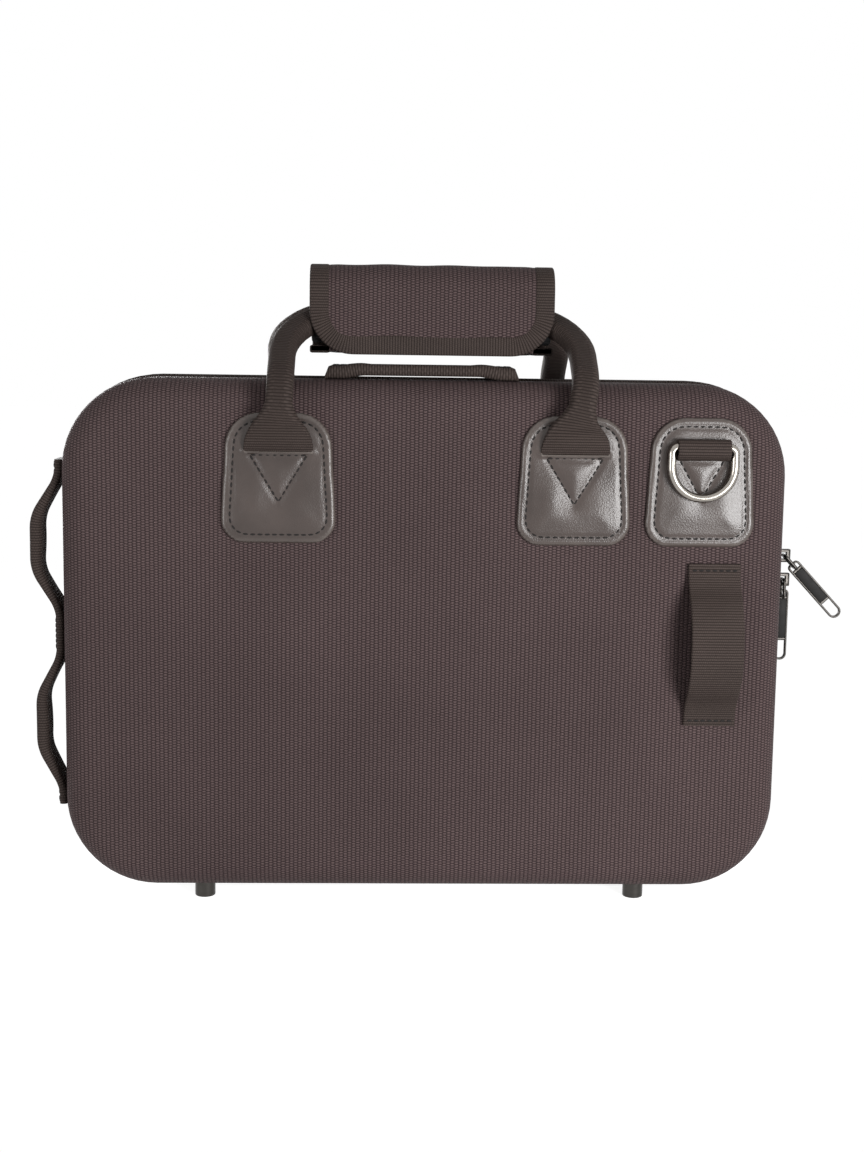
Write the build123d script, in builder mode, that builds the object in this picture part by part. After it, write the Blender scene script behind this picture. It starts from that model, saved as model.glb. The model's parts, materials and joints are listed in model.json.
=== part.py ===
import os
from math import atan2, cos, radians, sin

from build123d import *

# An oboe case: two moulded half shells under woven cloth, joined by a zip round
# three sides and a cloth hinge along the bottom. It stands on four metal feet.
# X runs to the right, Y away from the viewer, Z up. The origin is on the floor,
# midway between the feet. A half is called by the way its face looks: out is -1
# for the lid, in front, and +1 for the base, behind. Millimetres throughout.

FRONT = -1
REAR = 1
LEFT = -1
RIGHT = 1

# Case
case_w = 345.0
case_h = 246.5
corner_r = 44.0
edge_r = 13.0
lid_depth = 38.5
base_depth = 56.5
cover_t = 1.0
shell_t = 4.0
lining_t = 1.5
glue = 0.05

# Feet and what fastens them
foot_h = 8.5
foot_r = 5.0
foot_edge = 0.5
foot_gap_x = 213.0
foot_inset_y = 19.5
screw_r = 1.65
screw_play = 0.05
screw_grip = 3.2
screw_tip_room = 0.2
bolt_hole_r = 1.9
head_r = 3.2
head_h = 1.5
washer_r = 4.5
washer_t = 0.8
recess_play = 0.3

# Closing band between the shells
band_half = 8.0
binding_w = 2.5
binding_proud = 0.6
tape_t = 0.8
chain_t = 2.4
chain_w = 2.0
chain_gap = 0.8
zip_open_w = 236.0
stop_w = 5.0
stop_t = 3.0
hinge_strip_w = 230.0
hinge_strip_t = 1.2
lining_setback = 6.0

# Inside the case, with heights above the case's middle
bed_play = 0.05
bed_setback = 6.5
joint_bed_depth = 29.0
upper_joint_l = 240.0
upper_joint_w = 35.0
upper_joint_x = -20.0
upper_joint_up = 82.25
lower_joint_l = 258.0
lower_joint_w = 38.0
lower_joint_x = 12.0
lower_joint_up = 31.25
bell_l = 126.0
bell_wide = 58.0
bell_slim = 42.0
bell_x = -82.0
bell_up = -30.75
reed_l = 108.0
reed_w = 62.0
reed_depth = 26.0
reed_x = 74.0
reed_up = -30.75
tool_l = 236.0
tool_w = 27.0
tool_depth = 22.0
tool_up = -89.75
pocket_r = 8.0
pad_t = 12.0

# Leather patches on the faces
patch_t = 2.4
patch_drop = 15.5
patch_h = 61.0
patch_top_w = 48.0
patch_foot_w = 55.0
patch_top_r = 15.0
patch_foot_r = 12.0
ring_patch_top_w = 46.0
ring_patch_foot_w = 53.0
slit_drop = 19.0
slit_h = 3.4
tail_t = 1.4
tail_l = 26.0
tail_point = 10.0
pocket_play = 0.2

# Carrying straps
handle_x = 69.5
strap_flat_w = 31.0
strap_flat_t = 1.6
strap_flat_r = 0.78
pivot_gap = 1.6
strap_start = 0.9
flare_low = 6.0
flare_low_w = 22.0
flare_low_t = 4.5
flare_low_r = 2.23
flare_top = 18.0
tube_w = 13.0
tube_t = 10.0
tube_r = 4.0
shoulder_drop = 2.0
shoulder_r = 25.0
left_lean = 1.0
right_lean = 4.0
grip_r = 22.0
grip_off = 7.0
grip_rise = 32.0

# Padded wrap round both grips
wrap_x = 2.4
wrap_l = 116.0
wrap_lift = 1.5
wrap_h = 41.0
wrap_d = 46.0
wrap_t = 4.0
wrap_corner_r = 12.0
wrap_play = 0.3
flap_rise = 9.0
flap_low = 0.8
flap_corner_r = 20.0
hook_t = 1.0
hook_w = 7.5
hook_l = 84.0
hook_up = 2.5
grip_play_y = 3.2
grip_play_z = 1.9
trim_w = 9.5
trim_t = 0.8

# Shoulder strap rings
ring_inset_x = 43.0
ring_half_w = 14.9
ring_wire_r = 2.0
ring_bend_r = 3.0
ring_side = 9.0
ring_bar_rise = 5.5
loop_w = 25.4
loop_t = 1.6
loop_play = 0.3
loop_stand = 3.9

# Strap keeper on the lid's face
keeper_inset_x = 35.0
keeper_w = 25.0
keeper_t = 2.2
keeper_l = 78.5
keeper_up = -0.5
keeper_tab = 9.0
keeper_slope = 15.0
keeper_rise = 15.0
keeper_r = 19.0

# Grab handles on the lid's sides
side_setback = 16.75
side_w = 17.0
side_t = 4.0
side_l = 168.0
side_up = -0.25
side_tab = 8.5
side_slope = 19.0
side_dip_up = 0.0
side_dip_half = 11.75
upper_rise = 12.4
lower_rise = 10.7
side_bend_r = 20.0
side_lift = 0.4
top_strap_x = -2.5
top_strap_l = 92.0
top_strap_w = 17.0
top_strap_t = 4.2
top_strap_tab = 9.0
top_strap_slope = 8.0
top_strap_rise = 2.2
top_strap_r = 22.0

# Zip sliders and pulls
upper_slider_up = 41.25
lower_slider_up = 23.25
slider_w = 10.0
slider_l = 14.0
plate_t = 1.8
chain_play = 0.3
post_w = 1.1
post_l = 4.0
flange_w = 1.0
flange_play = 0.4
bridge_w = 2.6
bridge_leg = 1.6
bridge_l = 6.5
bridge_gap = 6.0
bridge_bar_t = 2.0
bridge_offset = 3.0
link_r = 0.8
link_play = 0.1
link_half_w = 3.5
link_l = 8.6
link_bend_r = 1.2
pull_angle = 43.0
pull_w = 6.7
pull_t = 2.2
pull_off = 1.6
pull_l = 38.5
pull_head = 5.5
pull_end = 7.0
pull_round = 2.0
pull_window = 2.6
pull_window_w = 3.6
pull_hole_l = 3.6
pull_hole_w = 2.6
pull_hole_r = 1.25
core_w = 4.0
core_t = 1.0
core_play = 0.05

# Worked out from the sizes above
low_z = foot_h
top_z = low_z + case_h
mid_z = low_z + case_h / 2
side_x = case_w / 2
shell_inset = cover_t + glue
lining_inset = shell_inset + shell_t + glue
bed_inset = lining_inset + lining_t + bed_play
edge_depth = shell_inset + shell_t
close_y = (lid_depth - base_depth) / 2
foot_x = foot_gap_x / 2
foot_y = (lid_depth + base_depth) / 2 - foot_inset_y
hinge_z = low_z - hinge_strip_t / 2
upper_joint_z = mid_z + upper_joint_up
lower_joint_z = mid_z + lower_joint_up
bell_z = mid_z + bell_up
reed_z = mid_z + reed_up
tool_z = mid_z + tool_up
patch_top_z = top_z - patch_drop
slit_z = patch_top_z - slit_drop
pivot_y = patch_t + pivot_gap
shoulder_rise = top_z - shoulder_drop - slit_z
grip_z = top_z + grip_rise
wrap_mid_z = grip_z + wrap_lift
flap_top_z = wrap_mid_z + flap_rise
ring_x = side_x - ring_inset_x
ring_bar_z = slit_z + ring_bar_rise
keeper_x = side_x - keeper_inset_x
keeper_top_z = mid_z + keeper_up + keeper_l / 2
keeper_low_z = keeper_top_z - keeper_l
side_y = close_y - side_setback
side_top_z = mid_z + side_up + side_l / 2
side_low_z = side_top_z - side_l
side_dip_z = mid_z + side_dip_up
upper_slider_z = mid_z + upper_slider_up
lower_slider_z = mid_z + lower_slider_up


def face_y(out):
    return close_y + (base_depth if out == REAR else -lid_depth)


def side_of(out):
    # The base's face carries the same fittings as the lid's, turned half round
    return -out


def facing(y):
    # A plane parallel to the faces, drawn on in x and z
    return Plane(origin=(0, y, 0), x_dir=(1, 0, 0), z_dir=(0, -1, 0))


def finish(piece, name):
    piece.part.label = name
    export_step(piece.part, "parts/" + name + ".step")


def outline(inset, mode=Mode.ADD):
    with Locations((0, mid_z)):
        RectangleRounded(
            case_w - 2 * inset, case_h - 2 * inset, corner_r - inset, mode=mode
        )


def tray(out, inset, setback):
    # One half of the case as a solid, drawn in by the inset on every side,
    # from its rim, set back from the closing plane, to its soft-edged face
    rim_y = close_y + out * setback
    floor_y = face_y(out) - out * inset
    with BuildPart() as form:
        with BuildSketch(facing(rim_y)):
            outline(inset)
        extrude(amount=rim_y - floor_y)
        floor = form.faces().sort_by(Axis.Y)[-1 if out == REAR else 0]
        fillet(floor.edges(), edge_r - inset)
    return form.part


def ring_band(out, inset, wall, near, far):
    # A band that follows the case's outline, between two distances from the closing plane
    with BuildPart() as band:
        with BuildSketch(facing(close_y + out * near)):
            outline(inset)
            outline(inset + wall, mode=Mode.SUBTRACT)
        extrude(amount=-out * (far - near))
    return band.part


def foot_places(out, z):
    return [(x, out * foot_y, z) for x in (-foot_x, foot_x)]


def drill_feet(out, radius):
    with Locations(foot_places(out, low_z)):
        Cylinder(radius, 2 * edge_depth, mode=Mode.SUBTRACT)


# Half shells: woven cover, moulded shell and plush lining


def cover(out, name):
    outside = tray(out, 0, band_half)
    inside = tray(out, cover_t, band_half)
    with BuildPart() as piece:
        add(outside)
        add(inside, mode=Mode.SUBTRACT)
        drill_feet(out, bolt_hole_r)
    finish(piece, name)


def shell(out, name):
    outside = tray(out, shell_inset, band_half)
    inside = tray(out, shell_inset + shell_t, band_half)
    recess = head_h + washer_t + recess_play
    with BuildPart() as piece:
        add(outside)
        add(inside, mode=Mode.SUBTRACT)
        drill_feet(out, bolt_hole_r)
        with Locations(foot_places(out, low_z + edge_depth)):
            Cylinder(washer_r + recess_play, 2 * recess, mode=Mode.SUBTRACT)
    finish(piece, name)


def lining(out, name):
    outside = tray(out, lining_inset, lining_setback)
    inside = tray(out, lining_inset + lining_t, lining_setback)
    with BuildPart() as piece:
        add(outside)
        add(inside, mode=Mode.SUBTRACT)
    finish(piece, name)


# Feet, each with a screw and a washer let into the shell


def feet(out, name):
    hole_depth = screw_grip + screw_tip_room
    with BuildPart() as piece:
        with Locations(foot_places(out, 0)):
            Cylinder(foot_r, foot_h, align=(Align.CENTER, Align.CENTER, Align.MIN))
        rims = piece.edges().filter_by(GeomType.CIRCLE).group_by(Axis.Z)[0]
        fillet(rims, foot_edge)
        with Locations(foot_places(out, low_z)):
            Cylinder(screw_r + screw_play, 2 * hole_depth, mode=Mode.SUBTRACT)
    finish(piece, name)


def foot_washers(out, name):
    seat_z = low_z + edge_depth - head_h - washer_t - recess_play
    with BuildPart() as piece:
        with BuildSketch(Plane.XY.offset(seat_z)):
            with Locations([(x, out * foot_y) for x in (-foot_x, foot_x)]):
                Circle(washer_r)
                Circle(bolt_hole_r, mode=Mode.SUBTRACT)
        extrude(amount=washer_t)
    finish(piece, name)


def foot_screws(out, name):
    under_head_z = low_z + edge_depth - head_h - recess_play
    centres = [(x, out * foot_y) for x in (-foot_x, foot_x)]
    with BuildPart() as piece:
        with BuildSketch(Plane.XY.offset(under_head_z)):
            with Locations(centres):
                Circle(head_r)
        extrude(amount=head_h)
        with BuildSketch(Plane.XY.offset(low_z - screw_grip)):
            with Locations(centres):
                Circle(screw_r)
        extrude(amount=under_head_z - low_z + screw_grip)
    finish(piece, name)


# Closing band: rim binding, zip tape, zip chain, end stops and the cloth hinge


def rim_binding(out, name):
    wall = binding_proud + edge_depth
    band = ring_band(out, -binding_proud, wall, band_half - binding_w, band_half)
    with BuildPart() as piece:
        add(band)
    finish(piece, name)


def open_bottom(width, height):
    # Clears the zip away along the bottom, where the cloth hinge takes over
    with Locations((0, close_y, low_z)):
        Box(width, 2 * band_half, height, mode=Mode.SUBTRACT)


def zip_tape(out, name):
    band = ring_band(out, 0, tape_t, chain_gap + chain_w, band_half - binding_w)
    with BuildPart() as piece:
        add(band)
        open_bottom(zip_open_w, 4 * chain_t)
    finish(piece, name)


def zip_chain(out, name):
    inset = (tape_t - chain_t) / 2
    band = ring_band(out, inset, chain_t, chain_gap, chain_gap + chain_w)
    with BuildPart() as piece:
        add(band)
        open_bottom(zip_open_w, 4 * chain_t)
    finish(piece, name)


def zip_end_stops(name):
    mid_y = close_y + chain_gap + chain_w / 2
    with BuildPart() as piece:
        with Locations([(s * (zip_open_w - stop_w) / 2, mid_y, low_z + tape_t / 2) for s in (-1, 1)]):
            Box(stop_w, chain_w, stop_t)
    finish(piece, name)


def hinge_strip(name):
    with BuildPart() as piece:
        with Locations((0, close_y, hinge_z)):
            Box(hinge_strip_w - 2 * stop_w, 2 * (band_half - binding_w), hinge_strip_t)
    finish(piece, name)


# Inside: the bed that holds the joints, and the pad in the lid


def joint_channel(x, z, length, width):
    # A round-bottomed channel along x, open to the lid
    rim_y = close_y + bed_setback
    round_y = rim_y + joint_bed_depth - width / 2
    with BuildPart() as channel:
        with BuildSketch(Plane.YZ.offset(x - length / 2)):
            with Locations((round_y, z)):
                Circle(width / 2)
                Rectangle(2 * joint_bed_depth, width, align=(Align.MAX, Align.CENTER))
        extrude(amount=length)
    return channel.part


def bell_outline():
    half = bell_l / 2
    Polygon(
        (bell_x - half, bell_z - bell_wide / 2),
        (bell_x + half, bell_z - bell_slim / 2),
        (bell_x + half, bell_z + bell_slim / 2),
        (bell_x - half, bell_z + bell_wide / 2),
        align=None,
    )


def instrument_bed(name):
    block = tray(REAR, bed_inset, bed_setback)
    upper = joint_channel(upper_joint_x, upper_joint_z, upper_joint_l, upper_joint_w)
    lower = joint_channel(lower_joint_x, lower_joint_z, lower_joint_l, lower_joint_w)
    rim_y = close_y + bed_setback
    with BuildPart() as piece:
        add(block)
        add(upper, mode=Mode.SUBTRACT)
        add(lower, mode=Mode.SUBTRACT)
        with BuildSketch(facing(rim_y)):
            bell_outline()
        extrude(amount=-joint_bed_depth, mode=Mode.SUBTRACT)
        with BuildSketch(facing(rim_y)):
            with Locations((reed_x, reed_z)):
                RectangleRounded(reed_l, reed_w, pocket_r)
        extrude(amount=-reed_depth, mode=Mode.SUBTRACT)
        with BuildSketch(facing(rim_y)):
            with Locations((0, tool_z)):
                RectangleRounded(tool_l, tool_w, pocket_r)
        extrude(amount=-tool_depth, mode=Mode.SUBTRACT)
    finish(piece, name)


def lid_pad(name):
    pad = tray(FRONT, bed_inset, lid_depth - bed_inset - pad_t)
    with BuildPart() as piece:
        add(pad)
    finish(piece, name)


# Leather patches, and the webbing that comes out of their slits


def patch_outline(x, top_w, foot_w):
    foot_z = patch_top_z - patch_h
    Polygon(
        (x - foot_w / 2, foot_z),
        (x + foot_w / 2, foot_z),
        (x + top_w / 2, patch_top_z),
        (x - top_w / 2, patch_top_z),
        align=None,
    )


def tail_outline(x, width, play=0.0):
    low = slit_z - tail_l - play
    Polygon(
        (x - width / 2 - play, slit_z + slit_h / 2),
        (x - width / 2 - play, low + tail_point),
        (x, low),
        (x + width / 2 + play, low + tail_point),
        (x + width / 2 + play, slit_z + slit_h / 2),
        align=None,
    )


def patch(out, x, top_w, foot_w, tail_w, name):
    y = face_y(out)
    with BuildPart() as piece:
        with BuildSketch(facing(y)) as shape:
            patch_outline(x, top_w, foot_w)
            fillet(shape.vertices().group_by(Axis.Y)[-1], patch_top_r)
            fillet(shape.vertices().group_by(Axis.Y)[0], patch_foot_r)
        extrude(amount=-out * patch_t)
        with BuildSketch(facing(y)):
            tail_outline(x, tail_w, pocket_play)
        extrude(amount=-out * (tail_t + pocket_play), mode=Mode.SUBTRACT)
        with BuildSketch(facing(y)):
            with Locations((x, slit_z)):
                Rectangle(tail_w + 2 * pocket_play, slit_h)
        extrude(amount=-out * patch_t, mode=Mode.SUBTRACT)
    finish(piece, name)


def strap_tails(out, name):
    # Flat ends of the carrying strap, sewn under the patches and out through their slits
    y = face_y(out)
    with BuildPart() as piece:
        for x in (-handle_x, handle_x):
            with BuildSketch(facing(y)):
                tail_outline(x, strap_flat_w)
            extrude(amount=-out * tail_t)
            with BuildSketch(facing(y)):
                with Locations((x, slit_z)):
                    Rectangle(strap_flat_w, strap_flat_t)
            extrude(amount=-out * patch_t)
    finish(piece, name)


def leg_x(leg, rise):
    # Each leg leans to the right as it climbs from its slit to the shoulder
    lean = left_lean if leg == LEFT else right_lean
    return leg * handle_x + lean * rise / shoulder_rise


def handle_strap(out, name):
    # Its back stays in one plane while its front swells from flat webbing to a folded tube
    back_y = face_y(out) + out * (pivot_y - strap_flat_t / 2)
    tube_y = back_y + out * tube_t / 2
    stages = [
        (strap_start, strap_flat_w, strap_flat_t, strap_flat_r),
        (flare_low, flare_low_w, flare_low_t, flare_low_r),
        (flare_top, tube_w, tube_t, tube_r),
    ]
    with BuildPart() as piece:
        for leg in (LEFT, RIGHT):
            for low, high in zip(stages, stages[1:]):
                for rise, width, thickness, corner in (low, high):
                    centre = (leg_x(leg, rise), back_y + out * thickness / 2, slit_z + rise)
                    with BuildSketch(Plane(centre)):
                        RectangleRounded(width, thickness, corner)
                loft()
        with BuildLine() as route:
            FilletPolyline(
                (leg_x(LEFT, flare_top), tube_y, slit_z + flare_top),
                (leg_x(LEFT, shoulder_rise), tube_y, slit_z + shoulder_rise),
                (leg_x(LEFT, shoulder_rise), out * grip_off, grip_z),
                (leg_x(RIGHT, shoulder_rise), out * grip_off, grip_z),
                (leg_x(RIGHT, shoulder_rise), tube_y, slit_z + shoulder_rise),
                (leg_x(RIGHT, flare_top), tube_y, slit_z + flare_top),
                radius=[shoulder_r, grip_r, grip_r, shoulder_r],
            )
        with BuildSketch(Plane((leg_x(LEFT, flare_top), tube_y, slit_z + flare_top))):
            RectangleRounded(tube_w, tube_t, tube_r)
        sweep(path=route.wires()[0])
    finish(piece, name)


# Padded wrap: cloth sleeve open in front, foam inside it, flap, hook and loop, binding


def flap_back_y():
    return -wrap_d / 2 + wrap_t


def foam_front_y():
    return flap_back_y() + 2 * hook_t


def wrap_section(inset):
    with Locations((0, wrap_mid_z)):
        RectangleRounded(wrap_d - 2 * inset, wrap_h - 2 * inset, wrap_corner_r - inset)


def wrap_start():
    return Plane.YZ.offset(wrap_x - wrap_l / 2)


def sleeve(inset, wall):
    # The wrap's cloth, without its front wall below the flap's crease
    with BuildPart() as form:
        with BuildSketch(wrap_start()):
            wrap_section(inset)
        extrude(amount=wrap_l)
        with BuildSketch(wrap_start()):
            wrap_section(inset + wall)
        extrude(amount=wrap_l, mode=Mode.SUBTRACT)
        with Locations((wrap_x, foam_front_y() + wrap_play, flap_top_z)):
            Box(
                2 * wrap_l,
                wrap_d,
                2 * wrap_h,
                align=(Align.CENTER, Align.MAX, Align.MAX),
                mode=Mode.SUBTRACT,
            )
    return form.part


def handle_wrap(name):
    form = sleeve(0, wrap_t)
    with BuildPart() as piece:
        add(form)
    finish(piece, name)


def wrap_binding(name):
    # Tape round the sleeve's two ends
    form = sleeve(-trim_t, trim_t)
    with BuildPart() as piece:
        add(form)
        with Locations((wrap_x, 0, wrap_mid_z)):
            Box(wrap_l - 2 * trim_w, 2 * wrap_d, 2 * wrap_h, mode=Mode.SUBTRACT)
    finish(piece, name)


def wrap_foam(name):
    # Fills the sleeve round the two grips, and is open to the front between them and the flap
    tube_lean = atan2(abs(face_y(REAR)) - grip_off, grip_z - top_z + shoulder_drop)
    reach_y = (tube_w * sin(tube_lean) + tube_t * cos(tube_lean)) / 2
    reach_z = (tube_w * cos(tube_lean) + tube_t * sin(tube_lean)) / 2
    bore_y = grip_off + reach_y + grip_play_y
    bore_z = reach_z + grip_play_z
    with BuildPart() as piece:
        with BuildSketch(wrap_start()):
            wrap_section(wrap_t + glue)
        extrude(amount=wrap_l)
        with Locations((wrap_x, foam_front_y(), wrap_mid_z)):
            Box(
                2 * wrap_l,
                wrap_d,
                2 * wrap_h,
                align=(Align.CENTER, Align.MAX, Align.CENTER),
                mode=Mode.SUBTRACT,
            )
        with Locations((wrap_x, bore_y, grip_z)):
            Box(
                2 * wrap_l,
                2 * wrap_d,
                2 * bore_z,
                align=(Align.CENTER, Align.MAX, Align.CENTER),
                mode=Mode.SUBTRACT,
            )
    finish(piece, name)


def flap_outline(inset, mode=Mode.ADD):
    # The flap seen from the front: round lower corners, drawn in at the sides and the bottom
    low = wrap_mid_z - wrap_h / 2 - flap_low + inset
    half = wrap_l / 2 - inset
    corner = flap_corner_r - inset
    with Locations((wrap_x, 0)):
        Polygon(
            (-half, flap_top_z),
            (-half, low + corner),
            (-half + corner, low),
            (half - corner, low),
            (half, low + corner),
            (half, flap_top_z),
            align=None,
            mode=mode,
        )
        with Locations((-half + corner, low + corner), (half - corner, low + corner)):
            Circle(corner, mode=mode)


def clear_crease():
    # Leaves a small gap below the sleeve's edge
    with Locations((wrap_x, flap_top_z - wrap_play)):
        Rectangle(
            2 * wrap_l, wrap_h, align=(Align.CENTER, Align.MIN), mode=Mode.SUBTRACT
        )


def wrap_flap(name):
    with BuildPart() as piece:
        with BuildSketch(facing(-wrap_d / 2)):
            flap_outline(0)
            clear_crease()
        extrude(amount=-wrap_t)
    finish(piece, name)


def flap_binding(name):
    with BuildPart() as piece:
        with BuildSketch(facing(-wrap_d / 2)):
            flap_outline(0)
            flap_outline(trim_w, mode=Mode.SUBTRACT)
            clear_crease()
        extrude(amount=trim_t)
    finish(piece, name)


def hook_tape(y, name):
    # One half of the hook and loop fastening between the flap and the foam
    low = wrap_mid_z - wrap_h / 2 + hook_up
    with BuildPart() as piece:
        with Locations((wrap_x, y, low)):
            Box(hook_l, hook_t, hook_w, align=(Align.CENTER, Align.MIN, Align.MIN))
    finish(piece, name)


# Shoulder strap rings and the webbing that holds them


def ring_bar_y(out):
    return face_y(out) + out * (patch_t + loop_stand)


def ring_loop(out, name):
    # Webbing tail under the patch, out through the slit and round the ring's bar
    x = side_of(out) * ring_x
    y = face_y(out)
    bar_y = ring_bar_y(out)
    eye_r = ring_wire_r + loop_play
    with BuildPart() as piece:
        with BuildSketch(facing(y)):
            tail_outline(x, loop_w)
        extrude(amount=-out * tail_t)
        with BuildSketch(Plane.YZ.offset(x - loop_w / 2)):
            with BuildLine():
                Polyline(
                    (y, slit_z - loop_t),
                    (bar_y + out * loop_t, slit_z - loop_t),
                    (bar_y + out * (eye_r + loop_t), ring_bar_z),
                    (bar_y - out * (eye_r + loop_t), ring_bar_z),
                    (bar_y - out * (eye_r + loop_t), slit_z + loop_t),
                    (y, slit_z + loop_t),
                    close=True,
                )
            make_face()
            with Locations((bar_y, ring_bar_z)):
                Circle(eye_r + loop_t)
                Circle(eye_r, mode=Mode.SUBTRACT)
        extrude(amount=loop_w)
    finish(piece, name)


def strap_ring(out, name):
    # A D of round wire: straight bar on top, short sides and a half circle
    x = side_of(out) * ring_x
    bar_y = ring_bar_y(out)
    low = ring_bar_z - ring_side
    with BuildPart() as piece:
        with BuildLine(facing(bar_y)) as wire:
            FilletPolyline(
                (x, ring_bar_z),
                (x + ring_half_w, ring_bar_z),
                (x + ring_half_w, low),
                radius=ring_bend_r,
            )
            ThreePointArc(
                (x + ring_half_w, low),
                (x, low - ring_half_w),
                (x - ring_half_w, low),
            )
            FilletPolyline(
                (x - ring_half_w, low),
                (x - ring_half_w, ring_bar_z),
                (x, ring_bar_z),
                radius=ring_bend_r,
            )
        with BuildSketch(Plane((x, bar_y, ring_bar_z), z_dir=(1, 0, 0))):
            Circle(ring_wire_r)
        sweep(path=wire.wires()[0])
    finish(piece, name)


# Webbing loops on the lid: strap keeper, side handle and top strap


def strap_keeper(name):
    y = face_y(FRONT)
    flat = y - keeper_t / 2
    bow = flat - keeper_rise
    with BuildPart() as piece:
        with BuildSketch(Plane.YZ.offset(keeper_x - keeper_w / 2)):
            with BuildLine():
                FilletPolyline(
                    (flat, keeper_top_z),
                    (flat, keeper_top_z - keeper_tab),
                    (bow, keeper_top_z - keeper_tab - keeper_slope),
                    (bow, keeper_low_z + keeper_tab + keeper_slope),
                    (flat, keeper_low_z + keeper_tab),
                    (flat, keeper_low_z),
                    radius=keeper_r,
                )
            trace(line_width=keeper_t)
        extrude(amount=keeper_w)
    finish(piece, name)


def side_handle(name):
    # One length of webbing, sewn down at both ends and in the middle
    flat = -side_x - side_t / 2
    dip = flat - side_lift
    with BuildPart() as piece:
        with BuildSketch(facing(side_y)):
            with BuildLine():
                FilletPolyline(
                    (flat, side_top_z),
                    (flat, side_top_z - side_tab),
                    (flat - upper_rise, side_top_z - side_tab - side_slope),
                    (flat - upper_rise, side_dip_z + side_dip_half + side_slope),
                    (dip, side_dip_z + side_dip_half),
                    (dip, side_dip_z - side_dip_half),
                    (flat - lower_rise, side_dip_z - side_dip_half - side_slope),
                    (flat - lower_rise, side_low_z + side_tab + side_slope),
                    (flat, side_low_z + side_tab),
                    (flat, side_low_z),
                    radius=side_bend_r,
                )
            trace(line_width=side_t)
        extrude(amount=side_w / 2, both=True)
    finish(piece, name)


def top_strap(name):
    flat = top_z + top_strap_t / 2
    high = flat + top_strap_rise
    left = top_strap_x - top_strap_l / 2
    right = top_strap_x + top_strap_l / 2
    with BuildPart() as piece:
        with BuildSketch(facing(side_y)):
            with BuildLine():
                FilletPolyline(
                    (left, flat),
                    (left + top_strap_tab, flat),
                    (left + top_strap_tab + top_strap_slope, high),
                    (right - top_strap_tab - top_strap_slope, high),
                    (right - top_strap_tab, flat),
                    (right, flat),
                    radius=top_strap_r,
                )
            trace(line_width=top_strap_t)
        extrude(amount=top_strap_w / 2, both=True)
    finish(piece, name)


# Zip sliders, each with a wire link and a pull


def chain_x():
    return side_x - tape_t / 2


def arch_foot():
    # How far the slider's outer plate reaches from the middle of the chain
    return chain_t / 2 + chain_play + plate_t


def slider(z, toward, name):
    # Its arch stands off its middle, toward the other slider
    inner = chain_t / 2 + chain_play
    outer = arch_foot()
    slot = tape_t / 2 + flange_play
    rail_y = chain_gap + chain_w + chain_play
    centre = (chain_x(), close_y, z)
    with BuildPart() as piece:
        with BuildSketch(Plane(centre, x_dir=(1, 0, 0), z_dir=(0, 0, 1)).offset(-slider_l / 2)):
            for s in (-1, 1):
                with Locations((s * (inner + outer) / 2, 0)):
                    Rectangle(plate_t, slider_w)
                with Locations((s * (outer + slot) / 2, rail_y + flange_w / 2)):
                    Rectangle(outer - slot, flange_w)
        extrude(amount=slider_l)
        with Locations((centre[0], close_y, z + slider_l / 2)):
            Box(
                2 * inner + plate_t,
                post_w,
                post_l,
                align=(Align.CENTER, Align.CENTER, Align.MAX),
            )
        with BuildSketch(facing(close_y)):
            with Locations((centre[0] + outer, z + toward * bridge_offset)):
                Rectangle(
                    bridge_gap + bridge_bar_t, bridge_l, align=(Align.MIN, Align.CENTER)
                )
                Rectangle(
                    bridge_gap,
                    bridge_l - 2 * bridge_leg,
                    align=(Align.MIN, Align.CENTER),
                    mode=Mode.SUBTRACT,
                )
        extrude(amount=bridge_w / 2, both=True)
    finish(piece, name)


def pivot_of(z):
    # The link hangs on the outer bar of the arch
    return (chain_x() + arch_foot() + bridge_gap - link_r - link_play, close_y, z)


def along(angle):
    # Direction of a pull that hangs at an angle out from straight down
    return (sin(radians(angle)), 0, -cos(radians(angle)))


def pull_link(z, angle, name):
    # A rectangle of round wire, threaded under the slider's bridge
    normal = (cos(radians(angle)), 0, sin(radians(angle)))
    with BuildSketch(Plane(pivot_of(z), x_dir=along(angle), z_dir=normal)) as loop:
        with Locations((link_l / 2, 0)):
            RectangleRounded(link_l, 2 * link_half_w, link_bend_r)
    route = loop.sketch.wires()[0]
    with BuildPart() as piece:
        with BuildSketch(Plane(route.position_at(0), z_dir=route.tangent_at(0))):
            Circle(link_r)
        sweep(path=route)
    finish(piece, name)


def pull_plane(z, angle, across):
    x, y, height = pivot_of(z)
    return Plane((x, y + across, height), x_dir=along(angle), z_dir=(0, -1, 0))


def pull(z, angle, across, name):
    # Metal head with a window for the link, slim core, and an end with an oval hole
    start = link_l - pull_window
    plane = pull_plane(z, angle, across)
    with BuildPart() as piece:
        with BuildSketch(plane):
            with Locations((start + pull_head / 2, 0)):
                Rectangle(pull_head, pull_w)
            with Locations((start + pull_l - pull_end / 2, 0)):
                RectangleRounded(pull_end, pull_w, pull_round)
        extrude(amount=pull_t / 2, both=True)
        with BuildSketch(plane):
            with Locations((start + pull_l / 2, 0)):
                Rectangle(pull_l - pull_end, core_w)
        extrude(amount=core_t / 2, both=True)
        with BuildSketch(plane):
            with Locations((link_l, 0)):
                Rectangle(pull_window, pull_window_w)
            with Locations((start + pull_l - pull_end / 2, 0)):
                RectangleRounded(pull_hole_l, pull_hole_w, pull_hole_r)
        extrude(amount=pull_t, both=True, mode=Mode.SUBTRACT)
    finish(piece, name)


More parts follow.
